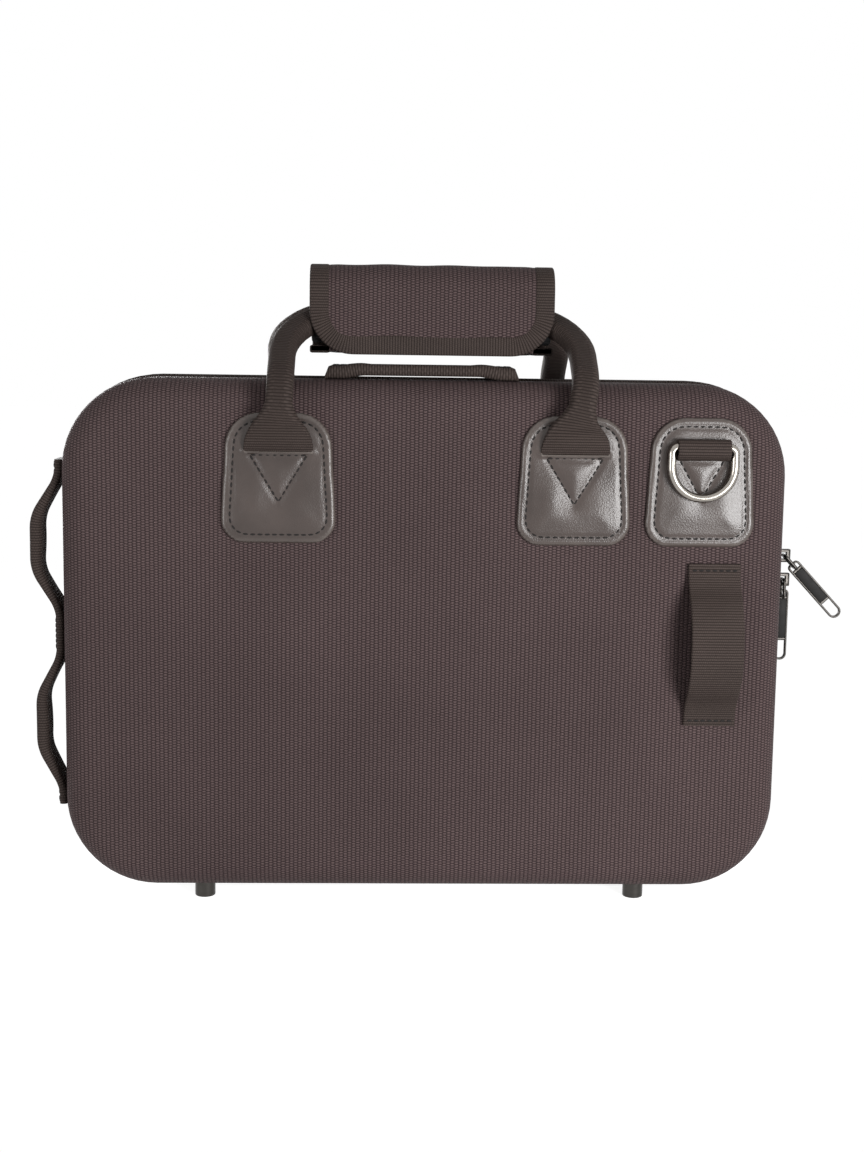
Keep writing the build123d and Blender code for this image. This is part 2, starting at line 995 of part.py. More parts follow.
def pull_grip(z, angle, across, name):
    # Moulded sleeve over the pull's core
    start = link_l - pull_window + pull_head + core_play
    end = link_l - pull_window + pull_l - pull_end - core_play
    plane = pull_plane(z, angle, across)
    with BuildPart() as piece:
        with BuildSketch(plane):
            with Locations(((start + end) / 2, 0)):
                Rectangle(end - start, pull_w)
        extrude(amount=pull_t / 2, both=True)
        with BuildSketch(plane):
            with Locations(((start + end) / 2, 0)):
                Rectangle(2 * (end - start), core_w + 2 * core_play)
        extrude(amount=core_t / 2 + core_play, both=True, mode=Mode.SUBTRACT)
    finish(piece, name)


def build_half(out, half):
    cover(out, half + "_cover")
    shell(out, half + "_shell")
    lining(out, half + "_lining")
    rim_binding(out, half + "_rim_binding")
    zip_tape(out, half + "_zip_tape")
    zip_chain(out, half + "_zip_chain")
    feet(out, half + "_feet")
    foot_washers(out, half + "_foot_washers")
    foot_screws(out, half + "_foot_screws")
    patch(out, -handle_x, patch_top_w, patch_foot_w, strap_flat_w, half + "_left_patch")
    patch(out, handle_x, patch_top_w, patch_foot_w, strap_flat_w, half + "_right_patch")
    patch(
        out,
        side_of(out) * ring_x,
        ring_patch_top_w,
        ring_patch_foot_w,
        loop_w,
        half + "_ring_patch",
    )
    strap_tails(out, half + "_strap_tails")
    handle_strap(out, half + "_handle_strap")
    ring_loop(out, half + "_ring_loop")
    strap_ring(out, half + "_ring")


def build_zip_pull(z, toward, angle, across, which):
    arch_z = z + toward * bridge_offset
    slider(z, toward, which + "_slider")
    pull_link(arch_z, angle, which + "_pull_link")
    pull(arch_z, angle, across, which + "_pull")
    pull_grip(arch_z, angle, across, which + "_pull_grip")


def main():
    os.makedirs("parts", exist_ok=True)
    build_half(FRONT, "front")
    build_half(REAR, "rear")
    instrument_bed("instrument_bed")
    lid_pad("lid_pad")
    hinge_strip("hinge_strip")
    zip_end_stops("zip_end_stops")
    strap_keeper("strap_keeper")
    side_handle("side_handle")
    top_strap("top_strap")
    handle_wrap("handle_wrap")
    wrap_binding("wrap_binding")
    wrap_foam("wrap_foam")
    wrap_flap("wrap_flap")
    flap_binding("flap_binding")
    hook_tape(flap_back_y(), "wrap_hook_tape")
    hook_tape(flap_back_y() + hook_t, "wrap_loop_tape")
    build_zip_pull(upper_slider_z, -1, pull_angle, -pull_off, "upper")
    build_zip_pull(lower_slider_z, 1, 0, pull_off, "lower")


main()
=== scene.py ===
import json
from math import atan2, cos, pi, radians, sin, sqrt, tan

import bmesh
import bpy
from mathutils import Matrix, Vector, noise
from mathutils.geometry import interpolate_bezier
from mathutils.kdtree import KDTree
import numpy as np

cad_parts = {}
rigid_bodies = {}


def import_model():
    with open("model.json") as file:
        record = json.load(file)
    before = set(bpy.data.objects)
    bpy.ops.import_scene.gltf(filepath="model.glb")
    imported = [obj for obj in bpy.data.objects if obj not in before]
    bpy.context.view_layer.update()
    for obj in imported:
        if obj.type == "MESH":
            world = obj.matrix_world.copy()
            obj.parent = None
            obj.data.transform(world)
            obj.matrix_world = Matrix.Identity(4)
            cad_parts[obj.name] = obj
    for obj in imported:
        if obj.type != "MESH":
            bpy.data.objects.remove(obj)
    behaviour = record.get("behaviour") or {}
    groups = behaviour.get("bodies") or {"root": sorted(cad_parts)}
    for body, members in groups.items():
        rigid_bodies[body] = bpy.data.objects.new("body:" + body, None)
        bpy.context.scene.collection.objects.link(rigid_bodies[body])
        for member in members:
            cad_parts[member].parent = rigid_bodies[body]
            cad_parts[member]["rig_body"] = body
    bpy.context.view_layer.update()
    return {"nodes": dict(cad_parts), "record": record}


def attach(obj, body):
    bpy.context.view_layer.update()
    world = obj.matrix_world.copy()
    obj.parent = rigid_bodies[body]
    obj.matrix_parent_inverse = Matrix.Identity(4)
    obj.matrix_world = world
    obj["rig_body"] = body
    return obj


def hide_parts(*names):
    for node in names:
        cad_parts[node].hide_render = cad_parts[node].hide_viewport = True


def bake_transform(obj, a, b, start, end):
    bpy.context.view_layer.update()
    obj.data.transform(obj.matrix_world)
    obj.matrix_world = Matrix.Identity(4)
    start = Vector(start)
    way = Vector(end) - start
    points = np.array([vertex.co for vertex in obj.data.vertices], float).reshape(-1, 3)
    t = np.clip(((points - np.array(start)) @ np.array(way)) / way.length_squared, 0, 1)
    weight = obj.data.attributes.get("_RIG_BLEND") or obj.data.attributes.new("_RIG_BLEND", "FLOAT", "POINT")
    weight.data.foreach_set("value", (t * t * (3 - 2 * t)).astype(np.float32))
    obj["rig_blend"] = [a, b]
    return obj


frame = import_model()

# Shapes are drawn in millimetres and brought to metres when a piece is finished.
# The lid's face looks to -Y. The base's face carries the same fittings, turned half round.
case = dict(width=345, height=246.5, low=8.5, corner=44, edge=13, close=-9, band=8)
case.update(lidFace=-47.5, baseFace=47.5)
middle = case["low"] + case["height"] / 2
halfRound = Matrix.Rotation(pi, 4, "Z")
up = Vector((0, 0, 1))
right = Vector((1, 0, 0))
away = Vector((0, 1, 0))


class Wire:
    # A node's socket that takes part in sums
    def __init__(self, tree, socket=None):
        self.tree, self.socket = tree, socket

    def node(self, kind, settings=None, sockets=None, out=0):
        made = self.tree.nodes.new("ShaderNode" + kind)
        for name, value in (settings or {}).items():
            setattr(made, name, value)
        for name, value in (sockets or {}).items():
            if isinstance(value, Wire):
                self.tree.links.new(value.socket, made.inputs[name])
            else:
                made.inputs[name].default_value = value
        return Wire(self.tree, made.outputs[out])

    def math(self, operation, *others):
        return self.node("Math", {"operation": operation}, dict(enumerate((self, *others))))

    def __add__(self, other):
        return self.math("ADD", other)

    __radd__ = __add__

    def __sub__(self, other):
        return self.math("SUBTRACT", other)

    def __rsub__(self, other):
        return (self * -1).math("ADD", other)

    def __mul__(self, other):
        return self.math("MULTIPLY", other)

    __rmul__ = __mul__

    def __truediv__(self, other):
        return self.math("DIVIDE", other)

    def __rtruediv__(self, other):
        return self.math("POWER", -1) * other

    def ridge(self):
        # 0 at whole numbers, 1 halfway between them
        return (self * pi).math("SINE").math("ABSOLUTE")

    def blend(self, low, high):
        # This value as the share of the second colour
        ends = [value if isinstance(value, Wire) else (*value, 1) for value in (low, high)]
        return self.node("Mix", {"data_type": "RGBA"}, {0: self, 6: ends[0], 7: ends[1]}, 2)

    def shade(self, colour, low, high):
        # Darkens or lightens a colour between two levels by this value
        level = self * (high - low) + low
        return self.node("VectorMath", {"operation": "SCALE"}, {0: colour, "Scale": level})

    def bump(self, depth, strength=1.0):
        return self.node("Bump", None, {"Strength": strength, "Distance": depth, "Height": self})


def placed(start):
    return start.node("TexCoord", None, None, 3)


def split(vector):
    return [vector.node("SeparateXYZ", None, {0: vector}, axis) for axis in range(3)]


def woven(start):
    # Distances in metres across and along a piece's own cloth
    return split(start.node("UVMap", {"uv_map": "weave"}))[:2]


def speckle(start, scale, detail=2, roughness=0.5, where=None):
    sockets = {"Vector": where or placed(start), "Scale": scale, "Detail": detail, "Roughness": roughness}
    return start.node("TexNoise", None, sockets)


def cleared(owner):
    owner.use_nodes = True
    owner.node_tree.nodes.clear()
    return Wire(owner.node_tree)


def outputTo(kind, shader):
    end = shader.tree.nodes.new("ShaderNodeOutput" + kind)
    shader.tree.links.new(shader.socket, end.inputs[0])


def finish(name, build, fixed):
    material = bpy.data.materials.new(name)
    start = cleared(material)
    outputTo("Material", start.node("BsdfPrincipled", None, {**fixed, **build(start)}))
    return material


# gap and thread: partly the cloth's own colours, partly painted shade in the gaps and a painted highlight on
# the knots
clothLook = dict(
    column=0.002, row=0.00128, depth=0.00028, gap=(0.022, 0.0145, 0.0155), thread=(0.141, 0.099, 0.098),
    fine=900, clouds=14, uneven=0.5, patchy=0.22, rough=0.52, rise=0.25,
)


def threads(start, knot, look):
    # The threads' own unevenness, and slow clouds of light and dark. The gap colour is darker partly by the
    # weave's own look and partly as painted shade in the hollows between the knots, and the thread colour is
    # partly a painted highlight on the knots
    uneven = speckle(start, look["fine"], 3)
    patchy = speckle(start, look["clouds"], 3)
    colour = (knot * (uneven * look["uneven"] + 1 - look["uneven"] / 2)).blend(look["gap"], look["thread"])
    return {
        "Base Color": patchy.shade(colour, 1 - look["patchy"], 1 + look["patchy"]),
        "Roughness": uneven * 0.2 + look["rough"],
        "Normal": (knot + uneven * look["rise"]).bump(look["depth"]),
    }


def wovenCloth(start):
    # Upright columns of knots, every other column half a knot lower
    u, v = woven(start)
    wander = speckle(start, 260, 2) - 0.5
    column = u / clothLook["column"] + wander * 0.22
    row = v / clothLook["row"] + column.math("FLOOR") * 0.5 + wander * 0.5
    return threads(start, column.ridge().math("POWER", 0.6) * row.ridge(), clothLook)


# gap and thread: partly the webbing's own colours, partly painted shade between the ribs and a painted
# highlight on them
webbingLook = dict(
    rib=0.0013, warp=0.0009, depth=0.0002, gap=(0.019, 0.0140, 0.0125), thread=(0.084, 0.064, 0.057),
    fine=1100, clouds=30, uneven=0.6, patchy=0.25, rough=0.55, rise=0.3,
)


def ribbedWebbing(start):
    # Ribs across the strap, with the threads that pass over them
    u, v = woven(start)
    wander = speckle(start, 300, 2) - 0.5
    rib = v / webbingLook["rib"] + wander * 0.12
    warp = u / webbingLook["warp"] + rib.math("FLOOR") * 0.5 + wander * 0.3
    return threads(start, rib.ridge() * (warp.ridge() * 0.45 + 0.55), webbingLook)


# edgeHighlight is the colour of a painted highlight along the patch's rim and the slit's lower lip
leatherLook = dict(dark=(0.030, 0.021, 0.018), light=(0.092, 0.070, 0.062), edgeHighlight=(0.25, 0.215, 0.195))


def pressedLeather(start):
    # Fine pebbled grain, with a painted highlight that makes the rim and the slit's lower lip paler
    cells = start.node("TexVoronoi", None, {"Vector": placed(start), "Scale": 1500})
    cloudy = speckle(start, 38, 4, 0.55)
    # The rim attribute is the mask of the painted highlight
    rim = start.node("Attribute", {"attribute_name": "rim"}, None, 2)
    plain = cloudy.blend(leatherLook["dark"], leatherLook["light"])
    # How much of the painted highlight is laid on, made patchy by the clouds
    share = (rim * cloudy * 0.7).math("MINIMUM", 1)
    return {
        "Base Color": share.blend(plain, leatherLook["edgeHighlight"]),
        "Roughness": cloudy * 0.2 + 0.2,
        "Normal": (cells * 0.5 + cloudy).bump(0.00015, 0.7),
    }


def grained(low, high, rough, spread, depth, strength, scale, detail=3, fine=0.5):
    # A fine even grain: board, thread and moulded plastic
    def build(start):
        grain = speckle(start, scale, detail, fine)
        return {
            "Base Color": grain.blend(low, high),
            "Roughness": grain * spread + rough,
            "Normal": grain.bump(depth, strength),
        }

    return build


def shortPlush(start):
    # Pile that lies this way and that in soft clouds
    pile = speckle(start, 1300, 3, 0.7)
    brushed = speckle(start, 34, 3, 0.55)
    colour = pile.blend((0.006, 0.006, 0.008), (0.034, 0.034, 0.042))
    return {
        "Base Color": brushed.shade(colour, 0.6, 1.5),
        "Roughness": brushed * 0.15 + 0.78,
        "Normal": (pile + brushed * 0.6).bump(0.0005, 0.7),
    }


def celled(near, far, depth, strength, scale):
    # Small cells or loops: foam, hook and loop
    def build(start):
        cells = start.node("TexVoronoi", None, {"Vector": placed(start), "Scale": scale})
        return {
            "Base Color": cells.blend(near, far),
            "Roughness": cells * 0.1 + 0.8,
            "Normal": cells.bump(depth, strength),
        }

    return build


def brushed(low, high, rough, spread, streaks=(1, 1, 14)):
    # Metal with fine streaks and a little clouding in its polish
    def build(start):
        long = start.node("Mapping", None, {"Vector": placed(start), "Scale": streaks})
        streak = speckle(start, 260, 3, 0.6, long)
        cloud = speckle(start, 120, 2)
        return {
            "Base Color": (streak * 0.6 + cloud * 0.4).blend(low, high),
            "Roughness": streak * spread + cloud * 0.06 + rough,
            "Normal": streak.bump(0.00002, 0.25),
        }

    return build


def grey(level):
    return (level, level, level)


def wovenTape(start):
    x, y, z = split(placed(start))
    knot = (y / 0.0008).ridge() * ((x + z) / 0.0008).ridge()
    return {
        "Base Color": knot.blend(grey(0.005), grey(0.028)),
        "Roughness": speckle(start, 600) * 0.2 + 0.6,
        "Normal": knot.bump(0.00015, 0.7),
    }


boardLook = grained(grey(0.006), grey(0.022), 0.5, 0.25, 0.00015, 0.6, 420, 4, 0.65)
threadLook = grained((0.004, 0.003, 0.003), (0.018, 0.015, 0.014), 0.6, 0.2, 0.0001, 0.6, 1400, 2)
toothLook = grained(grey(0.006), grey(0.014), 0.28, 0.18, 0.00004, 0.4, 300)
gripLook = grained((0.004, 0.0036, 0.0034), (0.012, 0.0112, 0.0105), 0.42, 0.18, 0.00004, 0.4, 300)
foamLook = celled((0.06, 0.06, 0.062), (0.016, 0.016, 0.017), 0.0003, 0.8, 900)
loopLook = celled(grey(0.03), grey(0.005), 0.0004, 0.9, 1600)
gunmetalLook = brushed((0.030, 0.028, 0.026), (0.075, 0.070, 0.065), 0.24, 0.12)
nickelLook = brushed((0.25, 0.23, 0.205), (0.42, 0.39, 0.355), 0.12, 0.1)
zincLook = brushed((0.42, 0.42, 0.4), (0.62, 0.62, 0.6), 0.32, 0.15)


def shiny(level):
    return {"Specular IOR Level": level}


bright = {"Metallic": 1.0}
finishes = {
    "woven_cloth": finish("wovenCloth", wovenCloth, shiny(0.08)),
    "webbing": finish("ribbedWebbing", ribbedWebbing, shiny(0.08)),
    "leather_patch": finish("pressedLeather", pressedLeather, shiny(0.5)),
    "shell_board": finish("shellBoard", boardLook, shiny(0.5)),
    "plush": finish("shortPlush", shortPlush, {**shiny(0.15), "Sheen Weight": 0.35}),
    "wrap_foam": finish("openFoam", foamLook, shiny(0.2)),
    "gunmetal": finish("gunmetal", gunmetalLook, bright),
    "nickel": finish("nickel", nickelLook, bright),
    "zinc_steel": finish("zincSteel", zincLook, bright),
    "zip_tape": finish("wovenTape", wovenTape, shiny(0.25)),
    "zip_teeth": finish("zipTeeth", toothLook, shiny(0.5)),
    "pull_grip": finish("pullGrip", gripLook, shiny(0.15)),
    "hook_and_loop": finish("hookAndLoop", loopLook, shiny(0.2)),
}
thread = finish("twistedThread", threadLook, shiny(0.3))
for row in frame["record"]["subparts"]:
    frame["nodes"][row["node"]].data.materials.clear()
    frame["nodes"][row["node"]].data.materials.append(finishes[row["material_slot"]])
print("finishes made:", len(finishes) + 1)


# How a piece is drawn and handed over


def startForm():
    form = bmesh.new()
    for name in ("base", "out", "paper"):
        form.verts.layers.float_vector.new(name)
    # The rim layer carries the mask of the leather's painted highlight
    form.verts.layers.float.new("rim")
    form.loops.layers.uv.new("weave")
    return form


def note(form, name):
    return form.verts.layers.float_vector[name]


def notes(form):
    return [note(form, name) for name in ("base", "out", "paper")]


def only(kind, made):
    return [item for item in made if isinstance(item, kind)]


def growEdges(form, edges):
    made = bmesh.ops.extrude_edge_only(form, edges=edges)["geom"]
    verts = only(bmesh.types.BMVert, made)
    fresh = set(verts)
    return verts, [edge for edge in only(bmesh.types.BMEdge, made) if fresh.issuperset(edge.verts)]


def secondSheet(form):
    # A copy of the sheet, joined to it round the edges; gives the copy's vertices
    made = bmesh.ops.extrude_face_region(form, geom=form.faces[:], use_keep_orig=True)["geom"]
    return only(bmesh.types.BMVert, made)


def bevelled(form, geom, offset, affect, segments):
    bmesh.ops.bevel(
        form, geom=geom, offset=offset, offset_type="OFFSET",
        affect=affect, segments=segments, profile=0.5, material=-1,
    )


def cutAt(form, place, axis, geom=None, reach=0.0):
    geom = geom or form.verts[:] + form.edges[:] + form.faces[:]
    bmesh.ops.bisect_plane(form, geom=geom, dist=reach, plane_co=place, plane_no=axis)


def removeFaces(form, half, low, high):
    # Those within a half width of the middle and between two heights
    gone = []
    for face in form.faces:
        centre = face.calc_center_median()
        if abs(centre.x) < half and low < centre.z < high:
            gone.append(face)
    bmesh.ops.delete(form, geom=gone, context="FACES")


def layCloth(form, wrap, banded):
    # Brings each vertex's note of its place on the flat cloth to the UV map
    # A closed piece starts again after the length wrap, and on a band the ribs run the other way
    paper, sheet = note(form, "paper"), form.loops.layers.uv["weave"]
    for face in form.faces:
        spots = [loop.vert[paper].copy() for loop in face.loops]
        far = max(spot.x for spot in spots)
        for loop, spot in zip(face.loops, spots):
            turn = wrap if wrap and far - spot.x > wrap / 2 else 0.0
            flat = ((spot.x + turn) * 0.001, spot.y * 0.001)
            loop[sheet].uv = flat[::-1] if banded else flat


def linked(name, data):
    made = bpy.data.objects.new(name, data)
    bpy.context.scene.collection.objects.link(made)
    return made


def linkMesh(name, mesh, material, smooth):
    mesh.materials.clear()
    mesh.materials.append(material)
    mesh.shade_smooth()
    mesh.set_sharp_from_angle(angle=radians(smooth))
    return linked(name, mesh)


def meshOf(name, form):
    mesh = bpy.data.meshes.new(name)
    form.to_mesh(mesh)
    form.free()
    return mesh


def handOver(
    name, form, slot, body, stands=(), turned=False, smooth=40,
    material=None, wrap=0.0, banded=False, look=0,
):
    # look is the way in Y that an open shell's face looks
    bmesh.ops.recalc_face_normals(form, faces=form.faces)
    if look and max(form.faces, key=lambda item: look * item.calc_center_median().y).normal.y * look < 0:
        bmesh.ops.reverse_faces(form, faces=form.faces)
    layCloth(form, wrap, banded)
    for layer in ("base", "out", "paper"):
        form.verts.layers.float_vector.remove(form.verts.layers.float_vector[layer])
    place = Matrix.Scale(0.001, 4)
    bmesh.ops.transform(form, matrix=halfRound @ place if turned else place, verts=form.verts)
    piece = linkMesh(name, meshOf(name, form), material or finishes[slot], smooth)
    if body:
        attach(piece, body)
    if stands:
        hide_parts(*stands)
    return piece


def clamped(share):
    return max(0.0, min(1.0, share))


def eased(share):
    # From 0 to 1 with a soft start and end
    share = clamped(share)
    return share * share * (3 - 2 * share)


def roundOff(radius, distance):
    # How far a quarter round falls back, at a distance from its edge
    return radius - sqrt(max(0.0, radius ** 2 - (radius - distance) ** 2))


def lengthOf(route):
    return sum((second - first).length for first, second in zip(route, route[1:]))


def heading(route, index):
    return (route[min(index + 1, len(route) - 1)] - route[max(index - 1, 0)]).normalized()


def evenly(route, spacing):
    # The same line with points at even distances
    lengths = [0.0]
    for first, second in zip(route, route[1:]):
        lengths.append(lengths[-1] + (second - first).length)
    count = max(2, round(lengths[-1] / spacing))
    places, index = [], 0
    for step in range(count + 1):
        goal = lengths[-1] * step / count
        while index < len(lengths) - 2 and lengths[index + 1] < goal:
            index += 1
        span = lengths[index + 1] - lengths[index]
        places.append(route[index].lerp(route[index + 1], (goal - lengths[index]) / span if span else 0))
    return places


def rounded(points, radii, spacing):
    # Straight runs joined by arcs of the given radii
    points = [Vector(point) for point in points]
    route = [points[0]]
    for before, corner, after, radius in zip(points, points[1:], points[2:], radii):
        back, ahead = (before - corner).normalized(), (after - corner).normalized()
        turn = pi - back.angle(ahead)
        reach, pull = radius * tan(turn / 2), radius * tan(turn / 4) * 4 / 3
        first, last = corner + back * reach, corner + ahead * reach
        route += interpolate_bezier(first, first - back * pull, last - ahead * pull, last, 12)
    return evenly(route + [points[-1]], spacing)


def carried(route, across, last=None):
    # The way along, across and outward at each place, with no twist but what last asks for
    ways = []
    for index in range(len(route)):
        along = heading(route, index)
        if ways:
            across = ways[-1][0].rotation_difference(along) @ across
        across = (across - along * across.dot(along)).normalized()
        ways.append((along, across, across.cross(along)))
    if last:
        twist = atan2(last.dot(ways[-1][2]), last.dot(ways[-1][1])) / (len(ways) - 1)
        for index, (along, across, outward) in enumerate(ways):
            across = across * cos(twist * index) + outward * sin(twist * index)
            ways[index] = (along, across, across.cross(along))
    return ways


def sweepStrap(form, stations, rounding=3):
    # A rounded section carried along, with its size given at each station:
    # centre, across, outward, width, thickness, corner radius
    base, out, paper = notes(form)
    ring = bmesh.ops.create_circle(form, segments=4 * (rounding + 1), radius=1, cap_ends=False)["verts"]
    for index, vert in enumerate(ring):
        quarter, step = divmod(index, rounding + 1)
        angle = (quarter + step / rounding) * pi / 2
        vert[base] = Vector(((1, -1, -1, 1)[quarter], (1, 1, -1, -1)[quarter], 0))
        vert[out] = Vector((cos(angle), sin(angle), 0))
    along, previous = 0.0, None
    verts, edges = ring, list({edge for vert in ring for edge in vert.link_edges})
    first, girth = edges, 0.0
    for centre, across, outward, width, thickness, radius in stations:
        if previous is not None:
            along += (centre - previous).length
            verts, edges = growEdges(form, edges)
        for vert in verts:
            sign, turn = vert[base], vert[out]
            over = sign.x * (width / 2 - radius) + turn.x * radius
            high = sign.y * (thickness / 2 - radius) + turn.y * radius
            vert.co = centre + across * over + outward * high
            vert[paper] = Vector((vert[paper].x, along, 0))
        if previous is None:
            for index, vert in enumerate(ring):
                vert[paper] = Vector((girth, 0, 0))
                girth += (ring[(index + 1) % len(ring)].co - vert.co).length
        previous = centre
    for loop in (first, edges):
        bmesh.ops.edgeloop_fill(form, edges=loop)
    return girth


def stationsAt(route, across, *size):
    # The same width, thickness and corner radius all along
    return [(place, way[1], way[2], *size) for place, way in zip(route, carried(route, across))]


strapCorner = dict(share=0.42, most=3.8)


def strapAlong(name, route, across, size, body, stands=(), turned=False, spread=None, last=None):
    # One webbing strap; spread gives width, thickness and a shift at a distance from its ends
    form, total = startForm(), lengthOf(route)
    stations, gone = [], 0.0
    for index, (place, way) in enumerate(zip(route, carried(route, across, last))):
        gone += (place - route[index - 1]).length if index else 0
        width, thickness, shift = spread(min(gone, total - gone)) if spread else (*size, 0.0)
        radius = min(min(thickness, width) * strapCorner["share"], strapCorner["most"])
        stations.append((place + way[2] * shift, way[1], way[2], width, thickness, radius))
    girth = sweepStrap(form, stations)
    return handOver(name, form, "webbing", body, stands, turned, wrap=girth)


def scatter(form, unit, places):
    # Adds the same small shape at each place
    mesh = meshOf("unit", unit)
    for place in places:
        mesh.transform(place)
        form.from_mesh(mesh)
        mesh.transform(place.inverted())
    bpy.data.meshes.remove(mesh)


stitch = dict(long=2.5, wide=1.0, high=0.7)


def sewn(name, rows, slot, body, turned=False, pitch=3.4):
    # Rows of thread: each row is a line and the way out of the cloth there
    form, unit, spots = startForm(), bmesh.new(), []
    bmesh.ops.create_uvsphere(unit, u_segments=6, v_segments=5, radius=0.5)
    size = Matrix.Diagonal((stitch["wide"], stitch["high"], stitch["long"], 1))
    bmesh.ops.transform(unit, matrix=size, verts=unit.verts)
    for row, outward in rows:
        places = evenly(row, pitch)
        for first, second in zip(places, places[1:]):
            along = (second - first).normalized()
            side = along.cross(outward).normalized()
            turn = Matrix((side, side.cross(along) * -1, along)).transposed().to_4x4()
            spots.append(Matrix.Translation((first + second) / 2) @ turn)
    scatter(form, unit, spots)
    return handOver(name, form, slot, body, turned=turned, smooth=80, material=thread)


# The case's outline, and bands that follow it


def outlineAt(distance):
    # A point of the outline, counted round from the bottom's middle, and the way out there
    radius = case["corner"]
    wide, high = case["width"] / 2 - radius, case["height"] / 2 - radius
    place, course, out = Vector((0, -high - radius)), Vector((1, 0)), Vector((0, -1))
    for straight in (wide, 2 * high, 2 * wide, 2 * high, wide):
        if distance <= straight:
            return place + course * distance, out
        distance -= straight
        place = place + course * straight
        hub = place - out * radius
        turn = min(distance / radius, pi / 2)
        swung = Vector((out.x * cos(turn) - out.y * sin(turn), out.x * sin(turn) + out.y * cos(turn)))
        if distance <= radius * pi / 2:
            return hub + swung * radius, swung
        distance -= radius * pi / 2
        place, out = hub + swung * radius, swung
        course = Vector((-out.y, out.x))
    return place, out


lap = 2 * (case["width"] + case["height"]) - (8 - 2 * pi) * case["corner"]


def outlineRing(form, cuts):
    # A ring of edges round the case that keeps its place, its way out and its distance round
    bmesh.ops.create_grid(form, x_segments=1, y_segments=1, size=0.5)
    frameUp = Matrix.Rotation(pi / 2, 4, "X") @ Matrix.Diagonal((case["width"], case["height"], 1, 1))
    bmesh.ops.transform(form, matrix=frameUp, verts=form.verts)
    bevelled(form, form.verts[:], case["corner"], "VERTICES", 14)
    bmesh.ops.delete(form, geom=form.faces[:], context="FACES_ONLY")
    sides = [edge for edge in form.edges if edge.calc_length() > 50]
    bmesh.ops.subdivide_edges(form, edges=sides, cuts=cuts)
    base, out, paper = notes(form)
    wide, high = case["width"] / 2 - case["corner"], case["height"] / 2 - case["corner"]
    vert = min(form.verts, key=lambda item: (round(item.co.z, 3), abs(item.co.x)))
    edge = max(vert.link_edges, key=lambda item: item.other_vert(vert).co.x)
    gone = 0.0
    for step in range(len(form.verts)):
        hub = Vector((max(-wide, min(wide, vert.co.x)), 0, max(-high, min(high, vert.co.z))))
        vert[out] = (vert.co - hub).normalized()
        vert[base] = vert.co + up * middle
        vert[paper] = Vector((gone, 0, 0))
        gone += edge.calc_length()
        vert = edge.other_vert(vert)
        edge = next(item for item in vert.link_edges if item is not edge and item != edge)
    return form.edges[:]


def setRing(form, verts, inset, y, run, flat=None):
    base, out, paper = notes(form)
    for vert in verts:
        vert.co = vert[base] - vert[out] * inset + away * y
        if flat is None:
            vert[paper] = Vector((vert[paper].x, run, 0))
        else:
            spread = vert[base] - vert[out] * (flat - run)
            vert[paper] = Vector((spread.x, spread.z, 0))


def grow(form, edges, places):
    for place in places:
        verts, edges = growEdges(form, edges)
        setRing(form, verts, *place)
    return edges


def openBottom(form, width):
    # Leaves the band away over this width of the case's underside
    low = case["low"] + 6
    for sign in (-1, 1):
        cutAt(form, right * (sign * width / 2), right)
    removeFaces(form, width / 2, -1.0, low)
    bmesh.ops.holes_fill(form, edges=form.edges[:], sides=40)


def bandRound(name, profile, slot, body, stands, opening=0.0, cuts=30):
    # A closed section of insets and places in Y, taken right round the case
    form = startForm()
    edges = first = outlineRing(form, cuts)
    verts, run, previous = form.verts[:], 0.0, None
    for inset, y in profile:
        if previous:
            verts, edges = growEdges(form, edges)
            run += sqrt((inset - previous[0]) ** 2 + (y - previous[1]) ** 2)
        setRing(form, verts, inset, y, run)
        previous = (inset, y)
    bmesh.ops.bridge_loops(form, edges=first + edges)
    if opening:
        openBottom(form, opening)
    return handOver(name, form, slot, body, stands, wrap=lap, banded=True)


def thicken(piece, thick):
    wall = piece.modifiers.new("thickness", "SOLIDIFY")
    wall.thickness, wall.offset = thick * 0.001, -1


coverValues = dict(thick=1.0, sag=0.25, cell=17.0)


def cover(half, body, face, way):
    # Woven cloth over the shell: wall, soft edge and a face that is not quite flat
    form = startForm()
    edge, rim = case["edge"], case["close"] + way * case["band"]
    bend, wall = edge * pi / 2, abs(face - rim) - edge
    edges = outlineRing(form, 26)
    setRing(form, form.verts, 0, rim, bend + wall, edge)
    places = [(0, rim + way * wall * share, bend + wall * (1 - share), edge) for share in (0.5, 1.0)]
    for step in range(1, 9):
        angle = step / 8 * pi / 2
        inset, y = edge * (1 - cos(angle)), face - way * edge * (1 - sin(angle))
        places.append((inset, y, edge * (pi / 2 - angle), edge))
    bmesh.ops.edgeloop_fill(form, edges=grow(form, edges, places))
    cell = coverValues["cell"]
    for axis, span, start in ((right, case["width"], 0), (up, case["height"], middle)):
        for step in range(-int(span / 2 / cell), int(span / 2 / cell) + 1):
            near = [item for item in form.faces if abs(item.calc_center_median().y - face) < 0.01]
            geom = list({item for one in near for item in (*one.verts, *one.edges, one)})
            cutAt(form, axis * (start + step * cell), axis, geom)
    for vert in form.verts:
        if abs(vert.co.y - face) < 0.01:
            vert.co.y -= way * coverValues["sag"] * (0.5 + 0.5 * noise.noise(vert.co * 0.02))
    piece = handOver("cloth_" + half, form, "woven_cloth", body, (half + "_cover",), look=way)
    thicken(piece, coverValues["thick"])


liningValues = dict(inset=5.1, thick=1.5, setback=6.0)


